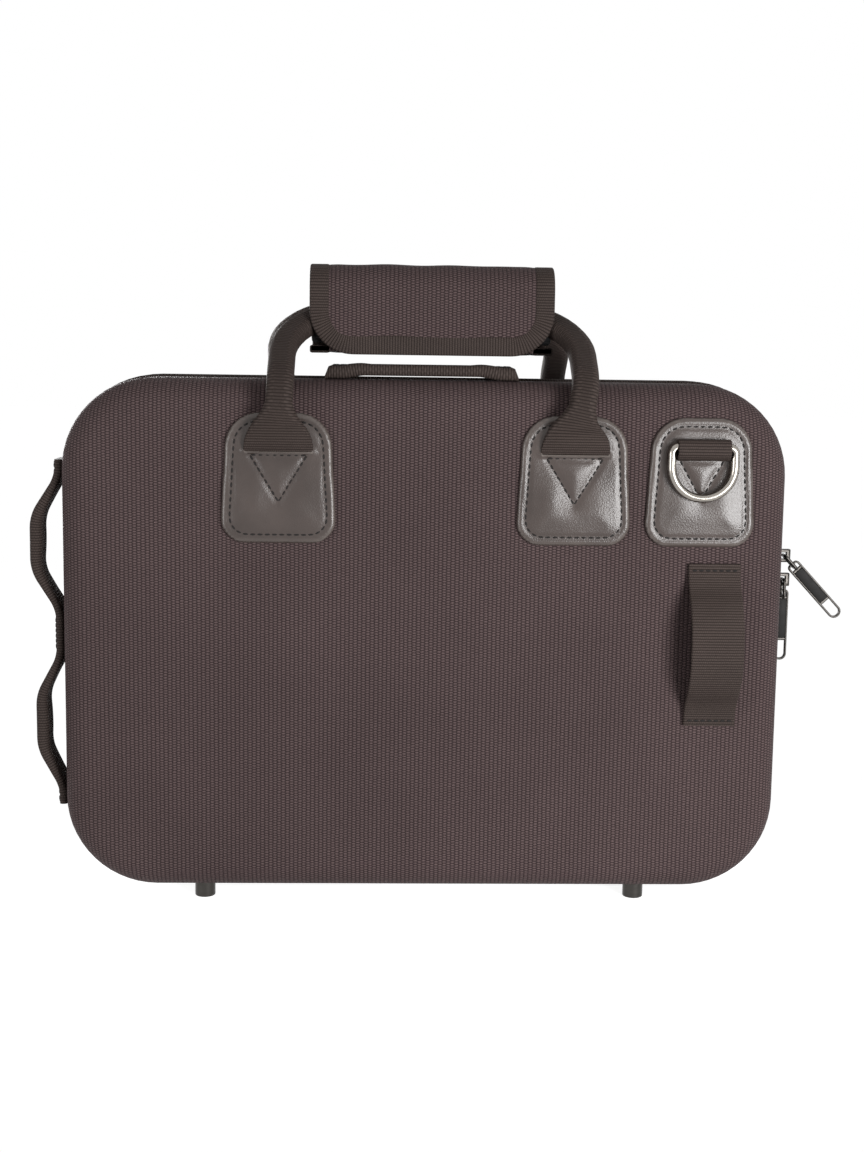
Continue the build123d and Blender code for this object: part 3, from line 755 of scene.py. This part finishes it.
def liningOf(half, body, face, way):
    # Plush glued inside the shell, with a rolled rim
    form = startForm()
    inset, thick = liningValues["inset"], liningValues["thick"]
    inner = case["edge"] - inset
    rim = case["close"] + way * liningValues["setback"]
    low = face - way * inset
    edges = outlineRing(form, 12)
    setRing(form, form.verts, inset, rim + way * thick / 2, 0)
    places = [(inset, low - way * inner, 20)]
    for step in range(1, 6):
        angle = step / 5 * pi / 2
        places.append((inset + inner * (1 - cos(angle)), low - way * inner * (1 - sin(angle)), 20 + step))
    bmesh.ops.edgeloop_fill(form, edges=grow(form, edges, places))
    piece = handOver("plush_" + half, form, "plush", body, (half + "_lining",), look=way)
    thicken(piece, thick)


bindingValues = dict(near=5.5, far=8.0, low=-0.6, high=5.0, crown=-0.95)
tapeValues = dict(near=0.08, far=5.6, low=0.02, high=0.8, crown=-0.05)
tapeOpening = 236.0
toothValues = dict(pitch=1.9, long=1.25, near=0.05, far=2.95, low=-0.75, high=1.55, bevel=0.32)


def bandProfile(way, near, far, low, high, crown, soft=0.4, nip=0.12):
    # Insets and places in Y of a band with two soft corners and a crown between them
    places = [
        (high, near), (low + soft, near), (low + nip, near + nip), (low, near + soft),
        (crown, (near + far) / 2),
        (low, far - soft), (low + nip, far - nip), (low + soft, far), (high, far),
    ]
    return [(inset, case["close"] + way * place) for inset, place in places]


def closingBand(half, body, way):
    profile = bandProfile(way, **bindingValues)
    bandRound("binding_" + half, profile, "webbing", body, (half + "_rim_binding",))
    profile = bandProfile(way, **tapeValues)
    bandRound("tape_" + half, profile, "zip_tape", body, (half + "_zip_tape",), tapeOpening)
    teeth(half, body, way)


def teeth(half, body, way):
    # Moulded coil: one small block for each turn, the two halves half a pitch apart
    values = toothValues
    form, unit, spots = startForm(), bmesh.new(), []
    bmesh.ops.create_cube(unit, size=1)
    size = (values["long"], values["far"] - values["near"], values["high"] - values["low"], 1)
    bmesh.ops.transform(unit, matrix=Matrix.Diagonal(size), verts=unit.verts)
    bevelled(unit, unit.edges[:], values["bevel"], "EDGES", 1)
    gone = tapeOpening / 2 + 1 + (values["pitch"] / 2 if way > 0 else 0)
    y = case["close"] + way * (values["near"] + values["far"]) / 2
    while gone < lap - tapeOpening / 2 - 1:
        spot, out = outlineAt(gone)
        spot -= out * (values["low"] + values["high"]) / 2
        round3, out3 = Vector((-out.y, 0, out.x)), Vector((out.x, 0, out.y))
        turn = Matrix((round3, away, out3)).transposed().to_4x4()
        spots.append(Matrix.Translation((spot.x, y, spot.y + middle)) @ turn)
        gone += values["pitch"]
    scatter(form, unit, spots)
    handOver("teeth_" + half, form, "zip_teeth", body, (half + "_zip_chain",), smooth=20)


halves = (("front", "lid", case["lidFace"], -1), ("rear", "rear_half", case["baseFace"], 1))
for half, body, face, way in halves:
    cover(half, body, face, way)
    liningOf(half, body, face, way)
    closingBand(half, body, way)
print("case made, lap", round(lap, 1), "mm")


# Cloth hinge along the bottom

hingeValues = dict(width=220.0, reach=5.3, height=7.9, thick=1.1)


def clothHinge():
    form = startForm()
    bmesh.ops.create_grid(form, x_segments=60, y_segments=14, size=0.5)
    paper = note(form, "paper")
    for vert in form.verts:
        x, y = vert.co.x * hingeValues["width"], vert.co.y * 2 * hingeValues["reach"]
        vert.co = (x, case["close"] + y, hingeValues["height"] + hingeValues["thick"] / 2)
        vert[paper] = Vector((y, x, 0))
    for vert in secondSheet(form):
        vert.co.z -= hingeValues["thick"]
    piece = handOver("hinge_cloth", form, "webbing", None, ("hinge_strip",))
    y = case["close"] * 0.001
    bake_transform(piece, "rear_half", "lid", start=(0, y + 0.003, 0.0079), end=(0, y - 0.003, 0.0079))


clothHinge()


# Leather patches with their stitching, and the webbing under them

# rim and highlightWide place the leather's painted highlight in a band just inside its edge
patchValues = dict(
    top=239.5, tall=61.0, topRadius=15.0, footRadius=12.0, thick=2.4, cell=1.35,
    edge=1.3, seam=4.0, seamDepth=0.55, pillow=0.9, shoulder=13.0, dents=0.5, lip=1.6,
    slit=222.0, slitLow=0.4, slitHigh=2.6, fromSlit=2.2, sewnDepth=0.75, pressedDepth=0.8,
    seamWide=0.95, sewnWide=1.2, pressedWide=6.5, lipWide=0.9, rim=0.7, highlightWide=0.75,
    inland=15.0, stitchLift=0.16,
)
legPatch = dict(topWide=48.0, footWide=55.0, tail=31.0, deep=24.0)
patches = {
    "left_patch": dict(x=-69.5, **legPatch),
    "right_patch": dict(x=69.5, **legPatch),
    "ring_patch": dict(x=129.5, topWide=46.0, footWide=53.0, tail=25.4, deep=21.0),
}


def falling(distance, width):
    # 1 at no distance, falling away softly over the width
    return 2.7 ** -((distance / width) ** 2)


def lineDistance(point, first, second):
    span = second - first
    share = clamped((point - first).dot(span) / span.length_squared)
    return (point - first - span * share).length


def insetRoute(sheet, inset):
    # The patch's outline drawn in by a distance, as a closed line
    values = patchValues
    foot = values["top"] - values["tall"]
    lean = (sheet["footWide"] - sheet["topWide"]) / 2 / values["tall"]
    low, high = foot + inset, values["top"] - inset
    atLow = sheet["footWide"] / 2 - inset - lean * inset
    atHigh = sheet["topWide"] / 2 - inset + lean * inset
    corners = [(0, low), (atLow, low), (atHigh, high), (-atHigh, high), (-atLow, low), (0, low)]
    radii = [values["footRadius"], values["topRadius"], values["topRadius"], values["footRadius"]]
    points = [(sheet["x"] + x, 0, z) for x, z in corners]
    return rounded(points, [radius - inset for radius in radii], 1.0)


def sewnCorners(sheet):
    # The triangle of stitches that holds the webbing below the slit
    slit, inset = patchValues["slit"], patchValues["fromSlit"]
    half = sheet["tail"] / 2 - inset
    return [Vector((x, 0, slit - down)) for x, down in ((-half, inset), (half, inset), (0, sheet["deep"]))]


def patchHeight(sheet, x, z, fromEdge):
    # How far the leather stands off the case's face
    values = patchValues
    high = values["thick"]
    if fromEdge < values["edge"]:
        high -= roundOff(values["edge"], fromEdge)
    high -= values["seamDepth"] * falling(fromEdge - values["seam"], values["seamWide"])
    inner = clamped((fromEdge - values["seam"]) / values["shoulder"])
    high += values["pillow"] * eased(inner)
    high += values["dents"] * noise.noise(Vector((x * 0.075 + sheet["x"], z * 0.06, 0))) * inner
    corners = sewnCorners(sheet)
    near = min(lineDistance(Vector((x, 0, z)), corners[index], corners[index - 2]) for index in range(3))
    high -= values["sewnDepth"] * falling(near, values["sewnWide"])
    high -= values["pressedDepth"] * falling(near, values["pressedWide"])
    below = values["slit"] - values["slitLow"] - z
    if -0.5 < below and abs(x) < sheet["tail"] / 2 + 1:
        high += values["lip"] * falling(below, values["lipWide"])
    return high


def leatherPatch(half, body, label, sheet, turned):
    form, values = startForm(), patchValues
    top, foot = values["top"], values["top"] - values["tall"]
    wide, narrow = sheet["footWide"] / 2, sheet["topWide"] / 2
    corners = ((-wide, foot), (wide, foot), (narrow, top), (-narrow, top))
    verts = [form.verts.new((x, 0, z)) for x, z in corners]
    form.faces.new(verts)
    for pair, radius in ((verts[:2], values["footRadius"]), (verts[2:], values["topRadius"])):
        bevelled(form, pair, radius, "VERTICES", 12)
    cell, count = values["cell"], int(values["tall"] / values["cell"])
    cuts = [(right, right * (step * cell)) for step in range(-count // 2, count // 2 + 1)]
    cuts += [(up, up * (foot + step * cell)) for step in range(1, count + 1)]
    slitLow, slitHigh = values["slit"] - values["slitLow"], values["slit"] + values["slitHigh"]
    slitHalf = sheet["tail"] / 2 + 0.2
    cuts += [(up, up * slitLow), (up, up * slitHigh), (right, right * slitHalf), (right, right * -slitHalf)]
    for axis, place in cuts:
        cutAt(form, place, axis, None, 0.02)
    rimEdges = [edge for edge in form.edges if edge.is_boundary]
    tree = KDTree(len(rimEdges) * 3)
    for index, edge in enumerate(rimEdges):
        for part in range(3):
            tree.insert(edge.verts[0].co.lerp(edge.verts[1].co, part / 3), index * 3 + part)
    tree.balance()
    removeFaces(form, slitHalf, slitLow, slitHigh)
    bmesh.ops.delete(form, geom=[vert for vert in form.verts if not vert.link_faces], context="VERTS")
    rim = form.verts.layers.float["rim"]
    for vert in secondSheet(form):
        fromEdge = tree.find(vert.co)[2]
        vert.co.y = -patchHeight(sheet, vert.co.x, vert.co.z, fromEdge)
        # Painted highlight mask: a band just inside the patch's edge
        vert[rim] = falling(fromEdge - values["rim"], values["highlightWide"])
        # Full painted highlight on the slit's lower lip
        if abs(vert.co.x) < slitHalf + 0.3 and -0.1 < slitLow - vert.co.z < 0.8:
            vert[rim] = 2.0
    bmesh.ops.translate(form, vec=(sheet["x"], case["lidFace"], 0), verts=form.verts)
    name = half + "_" + label
    handOver(name + "_leather", form, "leather_patch", body, (name,), turned, 60)
    sewn(name + "_stitches", patchRows(sheet), "leather_patch", body, turned)


def patchRows(sheet):
    # The seam round the patch, and the triangle
    values, x = patchValues, sheet["x"]
    corners = [corner + right * x for corner in sewnCorners(sheet)]
    lines = [insetRoute(sheet, values["seam"])]
    lines += [evenly([corners[index], corners[index - 2]], 1.0) for index in range(3)]
    rows = []
    for number, line in enumerate(lines):
        fromEdge = values["inland"] if number else values["seam"]
        lifted = []
        for place in line:
            high = patchHeight(sheet, place.x - x, place.z, fromEdge) + values["stitchLift"]
            lifted.append(Vector((place.x, case["lidFace"] - high, place.z)))
        rows.append((lifted, -away))
    return rows


tailValues = dict(thick=1.2, corner=0.5, places=[
    (196, 0.75, 8), (204, 0.75, 26), (212, 0.75, 30),
    (218, 0.75, 30.6), (221, 0.75, 30.6), (222.6, 1.1, 30.6)])


def webbingTails(half, body, turned):
    # Flat ends under the patches, out through the slits: height, distance from the face, width
    form, values = startForm(), tailValues
    for x in strapValues["legs"]:
        route = [Vector((x, case["lidFace"] - lift, z)) for z, lift, wide in values["places"]]
        stations = []
        for place, way, (z, lift, wide) in zip(route, carried(route, right), values["places"]):
            stations.append((place, way[1], way[2], wide, values["thick"], values["corner"]))
        girth = sweepStrap(form, stations)
    handOver(half + "_webbing_tails", form, "webbing", body, (half + "_strap_tails",), turned, wrap=girth)


ringValues = dict(x=129.5, bar=226.0, barY=-53.8, eye=3.15, wide=25.0, thick=1.5)


def ringWebbing(half, body, turned):
    # Round the ring's bar and back through the slit
    values = ringValues
    y, z, eye = values["barY"], values["bar"], values["eye"]
    points = [
        (0, -48.7, 223.2), (0, y + eye + 0.4, 224.0), (0, y + eye, z), (0, y + eye * 0.72, z + eye * 0.72),
        (0, y, z + eye), (0, y - eye * 0.72, z + eye * 0.72), (0, y - eye, z), (0, y - eye + 0.4, z - 3.2),
        (0, y + 0.8, z - 5.6), (0, -48.9, 221.2),
    ]
    points = [Vector(point) + right * values["x"] for point in points]
    route = [points[0]]
    for index in range(len(points) - 1):
        before, after = points[max(index - 1, 0)], points[min(index + 2, len(points) - 1)]
        first, second = points[index], points[index + 1]
        handles = first + (second - before) / 6, second - (after - first) / 6
        route += interpolate_bezier(first, *handles, second, 6)[1:]
    route = evenly(route, 0.9)
    size = (values["wide"], values["thick"])
    strapAlong(half + "_ring_webbing", route, right, size, body, (half + "_ring_loop",), turned)


strapValues = dict(
    legs=(-69.5, 69.5), lean=(1.0, 4.0), back=-50.7, tube=(12.6, 10.0),
    root=220.4, straight=14.0, shoulder=253.0, grip=287.0, gripY=-7.0, sink=2.6,
    radii=[40, 22, 36, 36, 22, 40],
    steps=[
        (0, 32.6, 1.5), (4, 32.4, 1.7), (8, 30.8, 2.9), (12, 27.2, 4.9),
        (16, 21.2, 7.6), (20, 15.6, 9.4), (24, 12.6, 10.0),
    ],
)


def strapSpread(gone):
    # Wide and flat in the slit, drawn in to a folded tube: width, thickness, shift
    steps, tube = strapValues["steps"], strapValues["tube"]
    for (low, wide, thick), (high, wideNext, thickNext) in zip(steps, steps[1:]):
        if gone < high:
            share = (gone - low) / (high - low)
            width, thickness = wide + (wideNext - wide) * share, thick + (thickNext - thick) * share
            sink = strapValues["sink"] * max(0.0, 1 - gone / 6) ** 1.5
            return width, thickness, (thickness - tube[1]) / 2 - sink
    return (*tube, 0.0)


def carryStrap(half, turned):
    values, sides = strapValues, []
    tubeY = values["back"] - values["tube"][1] / 2
    for leg, lean in zip(values["legs"], values["lean"]):
        leaning = leg + lean
        sides.append([
            (leg, tubeY, values["root"]), (leg, tubeY, values["root"] + values["straight"]),
            (leaning, tubeY, values["shoulder"]), (leaning, values["gripY"], values["grip"]),
        ])
    route = rounded(sides[0] + sides[1][::-1], values["radii"], 1.5)
    name, stands = half + "_carry_strap", (half + "_handle_strap",)
    strapAlong(name, route, right, None, half + "_handle", stands, turned, strapSpread, -right)


for half, body, face, way in halves:
    turned = way > 0
    for label, sheet in patches.items():
        leatherPatch(half, body, label, sheet, turned)
    webbingTails(half, body, turned)
    ringWebbing(half, body, turned)
    carryStrap(half, turned)
print("patches, webbing and carrying straps made")


# Webbing sewn to the lid: strap keeper, side handle and top strap

sideValues = dict(wide=17.0, start=9.0, long=62.0, thin=3.8, fuller=1.9, sits=3.9)
topValues = dict(wide=17.0, nose=3.2, end=1.6, fuller=4.9, slimmer=1.1, start=12.0, long=10.0, sits=5.4)


def sidePadding(gone):
    # The side handle is fuller where it stands off: width, thickness, shift toward the case
    values = sideValues
    full = 0.5 - 0.5 * cos(2 * pi * clamped((gone - values["start"]) / values["long"]))
    thick = values["thin"] + values["fuller"] * full
    return values["wide"], thick, (values["sits"] - thick) / 2


def topPadding(gone):
    # The top strap has full rounded ends and a slimmer middle
    values = topValues
    nose = sqrt(max(0.0, 1 - (1 - clamped(gone / values["nose"])) ** 2))
    slim = clamped((gone - values["start"]) / values["long"])
    thick = values["end"] + values["fuller"] * nose - values["slimmer"] * slim
    return values["wide"], thick, (values["sits"] - thick) / 2


lidStraps = {
    "strap_keeper": dict(across=right, along=away, at=137.5, size=(25.0, 2.0), points=[
        (-48.7, 170.5), (-48.7, 161.5), (-63.7, 146.5), (-63.7, 116.0), (-48.7, 101.0), (-48.7, 92.0)],
        radii=[19, 30, 30, 19]),
    "side_handle": dict(across=away, along=right, at=-25.75, spread=sidePadding, radii=[20] * 8, points=[
        (-174.6, 215.5), (-174.6, 207.0), (-187.0, 188.0), (-187.0, 162.5), (-175.0, 143.5), (-175.0, 120.0),
        (-185.3, 101.0), (-185.3, 75.0), (-174.6, 56.0), (-174.6, 47.5)]),
    "top_strap": dict(across=away, along=right, at=-25.75, spread=topPadding, radii=[22] * 4, points=[
        (-48.5, 257.85), (-39.5, 257.85), (-31.5, 259.6), (26.5, 259.6), (34.5, 257.85), (43.5, 257.85)]),
}
for label, values in lidStraps.items():
    across, along = values["across"], values["along"]
    points = [across * values["at"] + along * first + up * second for first, second in values["points"]]
    route = rounded(points, values["radii"], 1.6)
    spread = values.get("spread")
    strapAlong(label + "_webbing", route, across, values.get("size"), "lid", (label,), spread=spread)


def crossRows(centre, along, across, outward, long, wide):
    # A sewn box with its diagonals
    signs = ((-1, -1), (1, -1), (1, 1), (-1, 1))
    corners = [centre + along * (a * long / 2) + across * (b * wide / 2) for a, b in signs]
    pairs = [(0, 1), (1, 2), (2, 3), (3, 0), (0, 2), (1, 3)]
    return [([corners[first], corners[second]], outward) for first, second in pairs]


keeperSeams = dict(x=(126.3, 148.7), y=-49.8, z=(167.4, 163.6, 98.0, 94.6))
boxSeams = {
    "side_handle": dict(along=up, outward=-right, wide=13.5, pitch=2.6, boxes=(
        (-176.65, 211.2, 6.5), (-176.65, 51.8, 6.5), (-177.05, 131.75, 15.0))),
    "top_strap": dict(along=right, outward=up, wide=13.0, pitch=2.4, boxes=(
        (-41.5, 261.75, 6.0), (36.5, 261.75, 6.0))),
}
ends = [[Vector((x, keeperSeams["y"], z)) for x in keeperSeams["x"]] for z in keeperSeams["z"]]
sewn("keeper_stitches", [(pair, -away) for pair in ends], "webbing", "lid", pitch=3.0)
for label, values in boxSeams.items():
    rows = []
    for x, z, long in values["boxes"]:
        centre = Vector((x, lidStraps[label]["at"], z))
        rows += crossRows(centre, values["along"], away, values["outward"], long, values["wide"])
    sewn(label + "_stitches", rows, "webbing", "lid", pitch=values["pitch"])
print("lid's webbing made")


# Padded wrap round both grips: outer skins, binding, foam and fastening

wrapValues = dict(
    x=2.4, long=116.0, deep=46.0, top=309.0, low=268.0, corner=12.0, flapCorner=20.0, lip=-0.6,
    thick=4.0, edgeThick=2.2, shoulder=14.0, puff=1.5, sink=0.3, back=-16.6,
    trim=9.3, trimThick=3.7, trimOver=0.7, trimSink=0.75,
)


def sectionLine(points, radii):
    # The wrap's section in Y and Z, looked up by distance
    line = rounded([(0, y, z) for y, z in points], radii, 0.5)
    length = lengthOf(line)

    def at(distance):
        place = clamped(distance / length) * (len(line) - 1)
        index = min(int(place), len(line) - 2)
        spot = line[index].lerp(line[index + 1], place - index)
        low, high = max(index - 1, 0), min(index + 2, len(line) - 1)
        return spot, (line[high] - line[low]).normalized()

    return at, length


def paddedSkin(name, at, length, side, body, stands, roundEnd):
    # A padded sheet along the section, thin at its bound edges and full between them
    values = wrapValues
    form = startForm()
    bmesh.ops.create_grid(form, x_segments=72, y_segments=48, size=0.5)
    out, paper = note(form, "out"), note(form, "paper")
    for vert in form.verts:
        share, gone = vert.co.x * 2, (vert.co.y + 0.5) * length
        left = length - gone
        half = values["long"] / 2
        if roundEnd and left < values["flapCorner"]:
            half -= roundOff(values["flapCorner"], left)
        spot, along = at(gone)
        outward = side * right.cross(along).normalized()
        fromEdge = min(half * (1 - abs(share)), left)
        x = values["x"] + share * half
        wave = noise.noise(Vector((x * 0.05, gone * 0.03, 3 * side)))
        full = eased(fromEdge / values["shoulder"])
        thick = values["edgeThick"] + (values["thick"] - values["edgeThick"]) * full
        puff = values["puff"] * full
        vert.co = spot + right * x + outward * (puff * (0.75 + 0.5 * wave) - values["sink"])
        vert[out] = outward * (thick + puff * 0.5)
        vert[paper] = Vector((x, gone, 0))
    for vert in secondSheet(form):
        vert.co -= vert[out]
    bmesh.ops.remove_doubles(form, verts=form.verts, dist=0.001)
    return handOver(name, form, "woven_cloth", body, stands, smooth=50)


def boundEdge(name, at, side, lines, body, stands):
    # Ribbed tape folded over an edge, which is drawn on the flat skin
    values = wrapValues
    form = startForm()
    for line, inwardSign in lines:
        stations = []
        for index, place in enumerate(line):
            along = heading(line, index)
            inward = Vector((-along.z, 0, along.x)) * inwardSign
            spot, down = at(place.z)
            outward = side * right.cross(down).normalized()
            inward3 = (right * inward.x + down * inward.z).normalized()
            reach = values["trim"] / 2 - values["trimOver"]
            sink = values["trimSink"] - values["trimThick"] / 2
            centre = spot + right * place.x + inward3 * reach + outward * sink
            stations.append((centre, inward3, outward, values["trim"], values["trimThick"], 1.0))
        girth = sweepStrap(form, stations)
    return handOver(name, form, "webbing", body, stands, smooth=50, wrap=girth)


def paddedWrap():
    values = wrapValues
    half, front, rear = values["long"] / 2, -values["deep"] / 2, values["deep"] / 2
    x, seam = values["x"], 0.0
    flapPoints = [(seam, values["top"]), (front, values["top"]), (front, values["low"] + values["lip"])]
    flapAt, flapLength = sectionLine(flapPoints, [values["corner"]])
    skin = paddedSkin("wrap_flap_skin", flapAt, flapLength, -1, None, ("wrap_flap",), True)
    edge = rounded(
        [(x - half, 0, 0), (x - half, 0, flapLength), (x + half, 0, flapLength), (x + half, 0, 0)],
        [values["flapCorner"]] * 2, 1.5,
    )
    tape = boundEdge("wrap_flap_binding", flapAt, -1, [(edge, -1)], None, ("flap_binding",))
    for piece in (skin, tape):
        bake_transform(piece, "rear_handle", "flap", start=(0, -0.021, 0.3000), end=(0, -0.021, 0.2950))
    top, low = values["top"], values["low"]
    rearPoints = [(seam, top), (rear, top), (rear, low), (values["back"], low)]
    rearAt, rearLength = sectionLine(rearPoints, [values["corner"]] * 2)
    sleeve = paddedSkin("wrap_sleeve_skin", rearAt, rearLength, 1, "rear_handle", ("handle_wrap",), False)
    ends = []
    for sign in (-1, 1):
        line = [Vector((x + sign * half, 0, gone)) for gone in (0, rearLength)]
        ends.append((evenly(line, 1.5), sign))
    boundEdge("wrap_sleeve_binding", rearAt, 1, ends, "rear_handle", ("wrap_binding",))


paddedWrap()
print("padded wrap made")


# Pieces that keep the solid's shape, with softened edges


def copied(node, name, slot, modifiers, smooth):
    source = frame["nodes"][node]
    form = bmesh.new()
    form.from_mesh(source.data)
    bmesh.ops.remove_doubles(form, verts=form.verts, dist=1e-6)
    piece = linkMesh(name, meshOf(name, form), finishes[slot], smooth)
    for kind, settings in modifiers:
        made = piece.modifiers.new(kind.lower(), kind)
        for key, value in settings.items():
            setattr(made, key, value)
    finished = bpy.data.meshes.new_from_object(piece.evaluated_get(bpy.context.evaluated_depsgraph_get()))
    piece.modifiers.clear()
    piece.data = finished
    piece.data.shade_smooth()
    piece.data.set_sharp_from_angle(angle=radians(smooth))
    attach(piece, source["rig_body"])
    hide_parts(node)
    return piece


softened = {
    "instrument_bed": dict(slot="plush", voxel=0.0024, rounds=4, fill=0.9),
    "lid_pad": dict(slot="plush", voxel=0.0026, rounds=6, fill=0.8),
    "wrap_foam": dict(slot="wrap_foam", voxel=0.0011, rounds=3, fill=0.8),
}
for node, values in softened.items():
    remesh = ("REMESH", {"mode": "VOXEL", "voxel_size": values["voxel"]})
    relax = ("SMOOTH", {"factor": 0.5, "iterations": values["rounds"]})
    piece = copied(node, node + "_soft", values["slot"], [remesh, relax], 60)

edged = {
    "upper_slider": ("gunmetal", 0.00035), "lower_slider": ("gunmetal", 0.00035),
    "wrap_hook_tape": ("hook_and_loop", 0.0002), "wrap_loop_tape": ("hook_and_loop", 0.0002),
}
for node, (slot, width) in edged.items():
    settings = {"width": width, "segments": 2, "limit_method": "ANGLE", "angle_limit": radians(40)}
    copied(node, node + "_edged", slot, [("BEVEL", {**settings, "harden_normals": False})], 35)
print("softened and edged pieces made")


# Zip pulls


pullValues = dict(
    pivot=180.5, start=5.2, long=36.0, wide=6.7, thick=2.2, rim=1.05, bars=(4.3, 25.3), grip=(5.0, 24.7),
    barWide=1.4, gripThick=2.7, slim=0.78, seam=12.0, radii=[1.5, 1.5, 2.65, 2.65],
)
pulls = {"upper": dict(z=170.0, y=-10.6, hang=43.0), "lower": dict(z=158.0, y=-7.4, hang=0.0)}


def zipPull(which, spot):
    # A metal rim with a window for the link and a long eye at its end, round a black grip
    values, hang = pullValues, radians(spot["hang"])
    along, side = Vector((sin(hang), 0, -cos(hang))), Vector((cos(hang), 0, sin(hang)))
    origin = Vector((values["pivot"], spot["y"], spot["z"])) + along * values["start"]
    rim, half, end = values["rim"], (values["wide"] - values["rim"]) / 2, values["long"] - values["rim"] / 2

    def at(gone, over):
        return origin + along * gone + side * over

    form = startForm()
    seam, near = values["seam"], rim / 2
    corners = [at(seam, half), at(near, half), at(near, -half), at(end, -half), at(end, half), at(seam, half)]
    route = rounded(corners, values["radii"], 0.6)
    sweepStrap(form, stationsAt(route, away, values["thick"], rim, 0.42))
    for gone in values["bars"]:
        bar = evenly([at(gone, -half), at(gone, half)], 1.5)
        sweepStrap(form, stationsAt(bar, away, values["thick"] * 0.8, values["barWide"], 0.4))
    handOver(which + "_pull_metal", form, "gunmetal", which + "_pull", (which + "_pull",))
    form = startForm()
    low, high = values["grip"]
    grip = evenly([at(low, 0), at(high, 0)], 1.2)
    stations = []
    for place, way in zip(grip, carried(grip, side)):
        share = (place - grip[0]).length / (high - low)
        full = values["slim"] + (1 - values["slim"]) * sqrt(max(0.0, sin(pi * share)))
        stations.append((place, way[1], way[2], values["wide"] - 1.1 * rim, values["gripThick"] * full, 0.7))
    sweepStrap(form, stations)
    handOver(which + "_pull_sleeve", form, "pull_grip", which + "_pull", (which + "_pull_grip",))


for which, spot in pulls.items():
    zipPull(which, spot)
print("zip pulls made")


# Camera, light and floor

cameraValues = dict(lens=52.085, azimuth=-2.046, elevation=7.953, roll=0.825, place=(-24.8, -829.4, 272.6))


def camera():
    values = cameraValues
    turn, rise, roll = (radians(values[name]) for name in ("azimuth", "elevation", "roll"))
    back = Vector((sin(turn) * cos(rise), -cos(turn) * cos(rise), sin(rise)))
    level = Vector((cos(turn), sin(turn), 0))
    upright = back.cross(level)
    across = level * cos(roll) + upright * sin(roll)
    tall = upright * cos(roll) - level * sin(roll)
    data = bpy.data.cameras.new("camera")
    data.lens, data.sensor_width, data.clip_start, data.clip_end = values["lens"], 36, 0.01, 50
    eye = linked("camera", data)
    turned = Matrix((across, tall, back)).transposed().to_4x4()
    eye.matrix_world = Matrix.Translation(Vector(values["place"]) * 0.001) @ turned
    bpy.context.scene.camera = eye


ambient = 0.22
lamps = {
    "key": dict(place=(0.44, -0.70, 0.17), size=0.34, power=5.6),
    "fill": dict(place=(-0.75, -0.60, 0.20), size=0.4, power=2.6),
    "back": dict(place=(-0.45, 0.95, 0.32), size=0.5, power=8.0),
}


def lamp(name, values):
    data = bpy.data.lights.new(name, "AREA")
    data.shape, data.size, data.energy = "DISK", values["size"], values["power"]
    place = Vector(values["place"])
    aim = (Vector((0, 0, 0.15)) - place).to_track_quat("-Z", "Y").to_matrix().to_4x4()
    linked(name, data).matrix_world = Matrix.Translation(place) @ aim


def seenRays(start):
    # 1 for what the camera sees, straight or in metal and glass
    rays = [start.node("LightPath", None, None, out) for out in (0, 3, 6)]
    return rays[0].math("MAXIMUM", rays[1]).math("MAXIMUM", rays[2])


def surroundings():
    world = bpy.data.worlds.new("studio")
    start = cleared(world)
    level = seenRays(start) * (1 - ambient) + ambient
    outputTo("World", start.node("Background", None, {"Color": (1, 1, 1, 1), "Strength": level}))
    bpy.context.scene.world = world
    form = bmesh.new()
    bmesh.ops.create_grid(form, x_segments=8, y_segments=8, size=6)

    def paleFloor(start):
        # Nearly clear away from the feet, because the open lid swings down past them
        x, y, z = split(placed(start))
        far = (x * x * 0.09 + y * y).math("SQRT")
        under = ((0.1 - far) / 0.04).math("MAXIMUM", 0).math("MINIMUM", 1)
        tone = speckle(start, 3, 2).blend(grey(0.86), grey(0.88))
        glow = seenRays(start).blend(grey(0), grey(0.88))
        return {"Base Color": tone, "Emission Color": glow, "Alpha": under * 0.81 + 0.04}

    material = finish("floor", paleFloor, {"Roughness": 0.9, "Emission Strength": 1.0, **shiny(0.1)})
    linkMesh("floor", meshOf("floor", form), material, 30)


camera()
for name, values in lamps.items():
    lamp(name, values)
surroundings()
bpy.context.scene.view_settings.view_transform = "Standard"
print("camera, light and floor made")
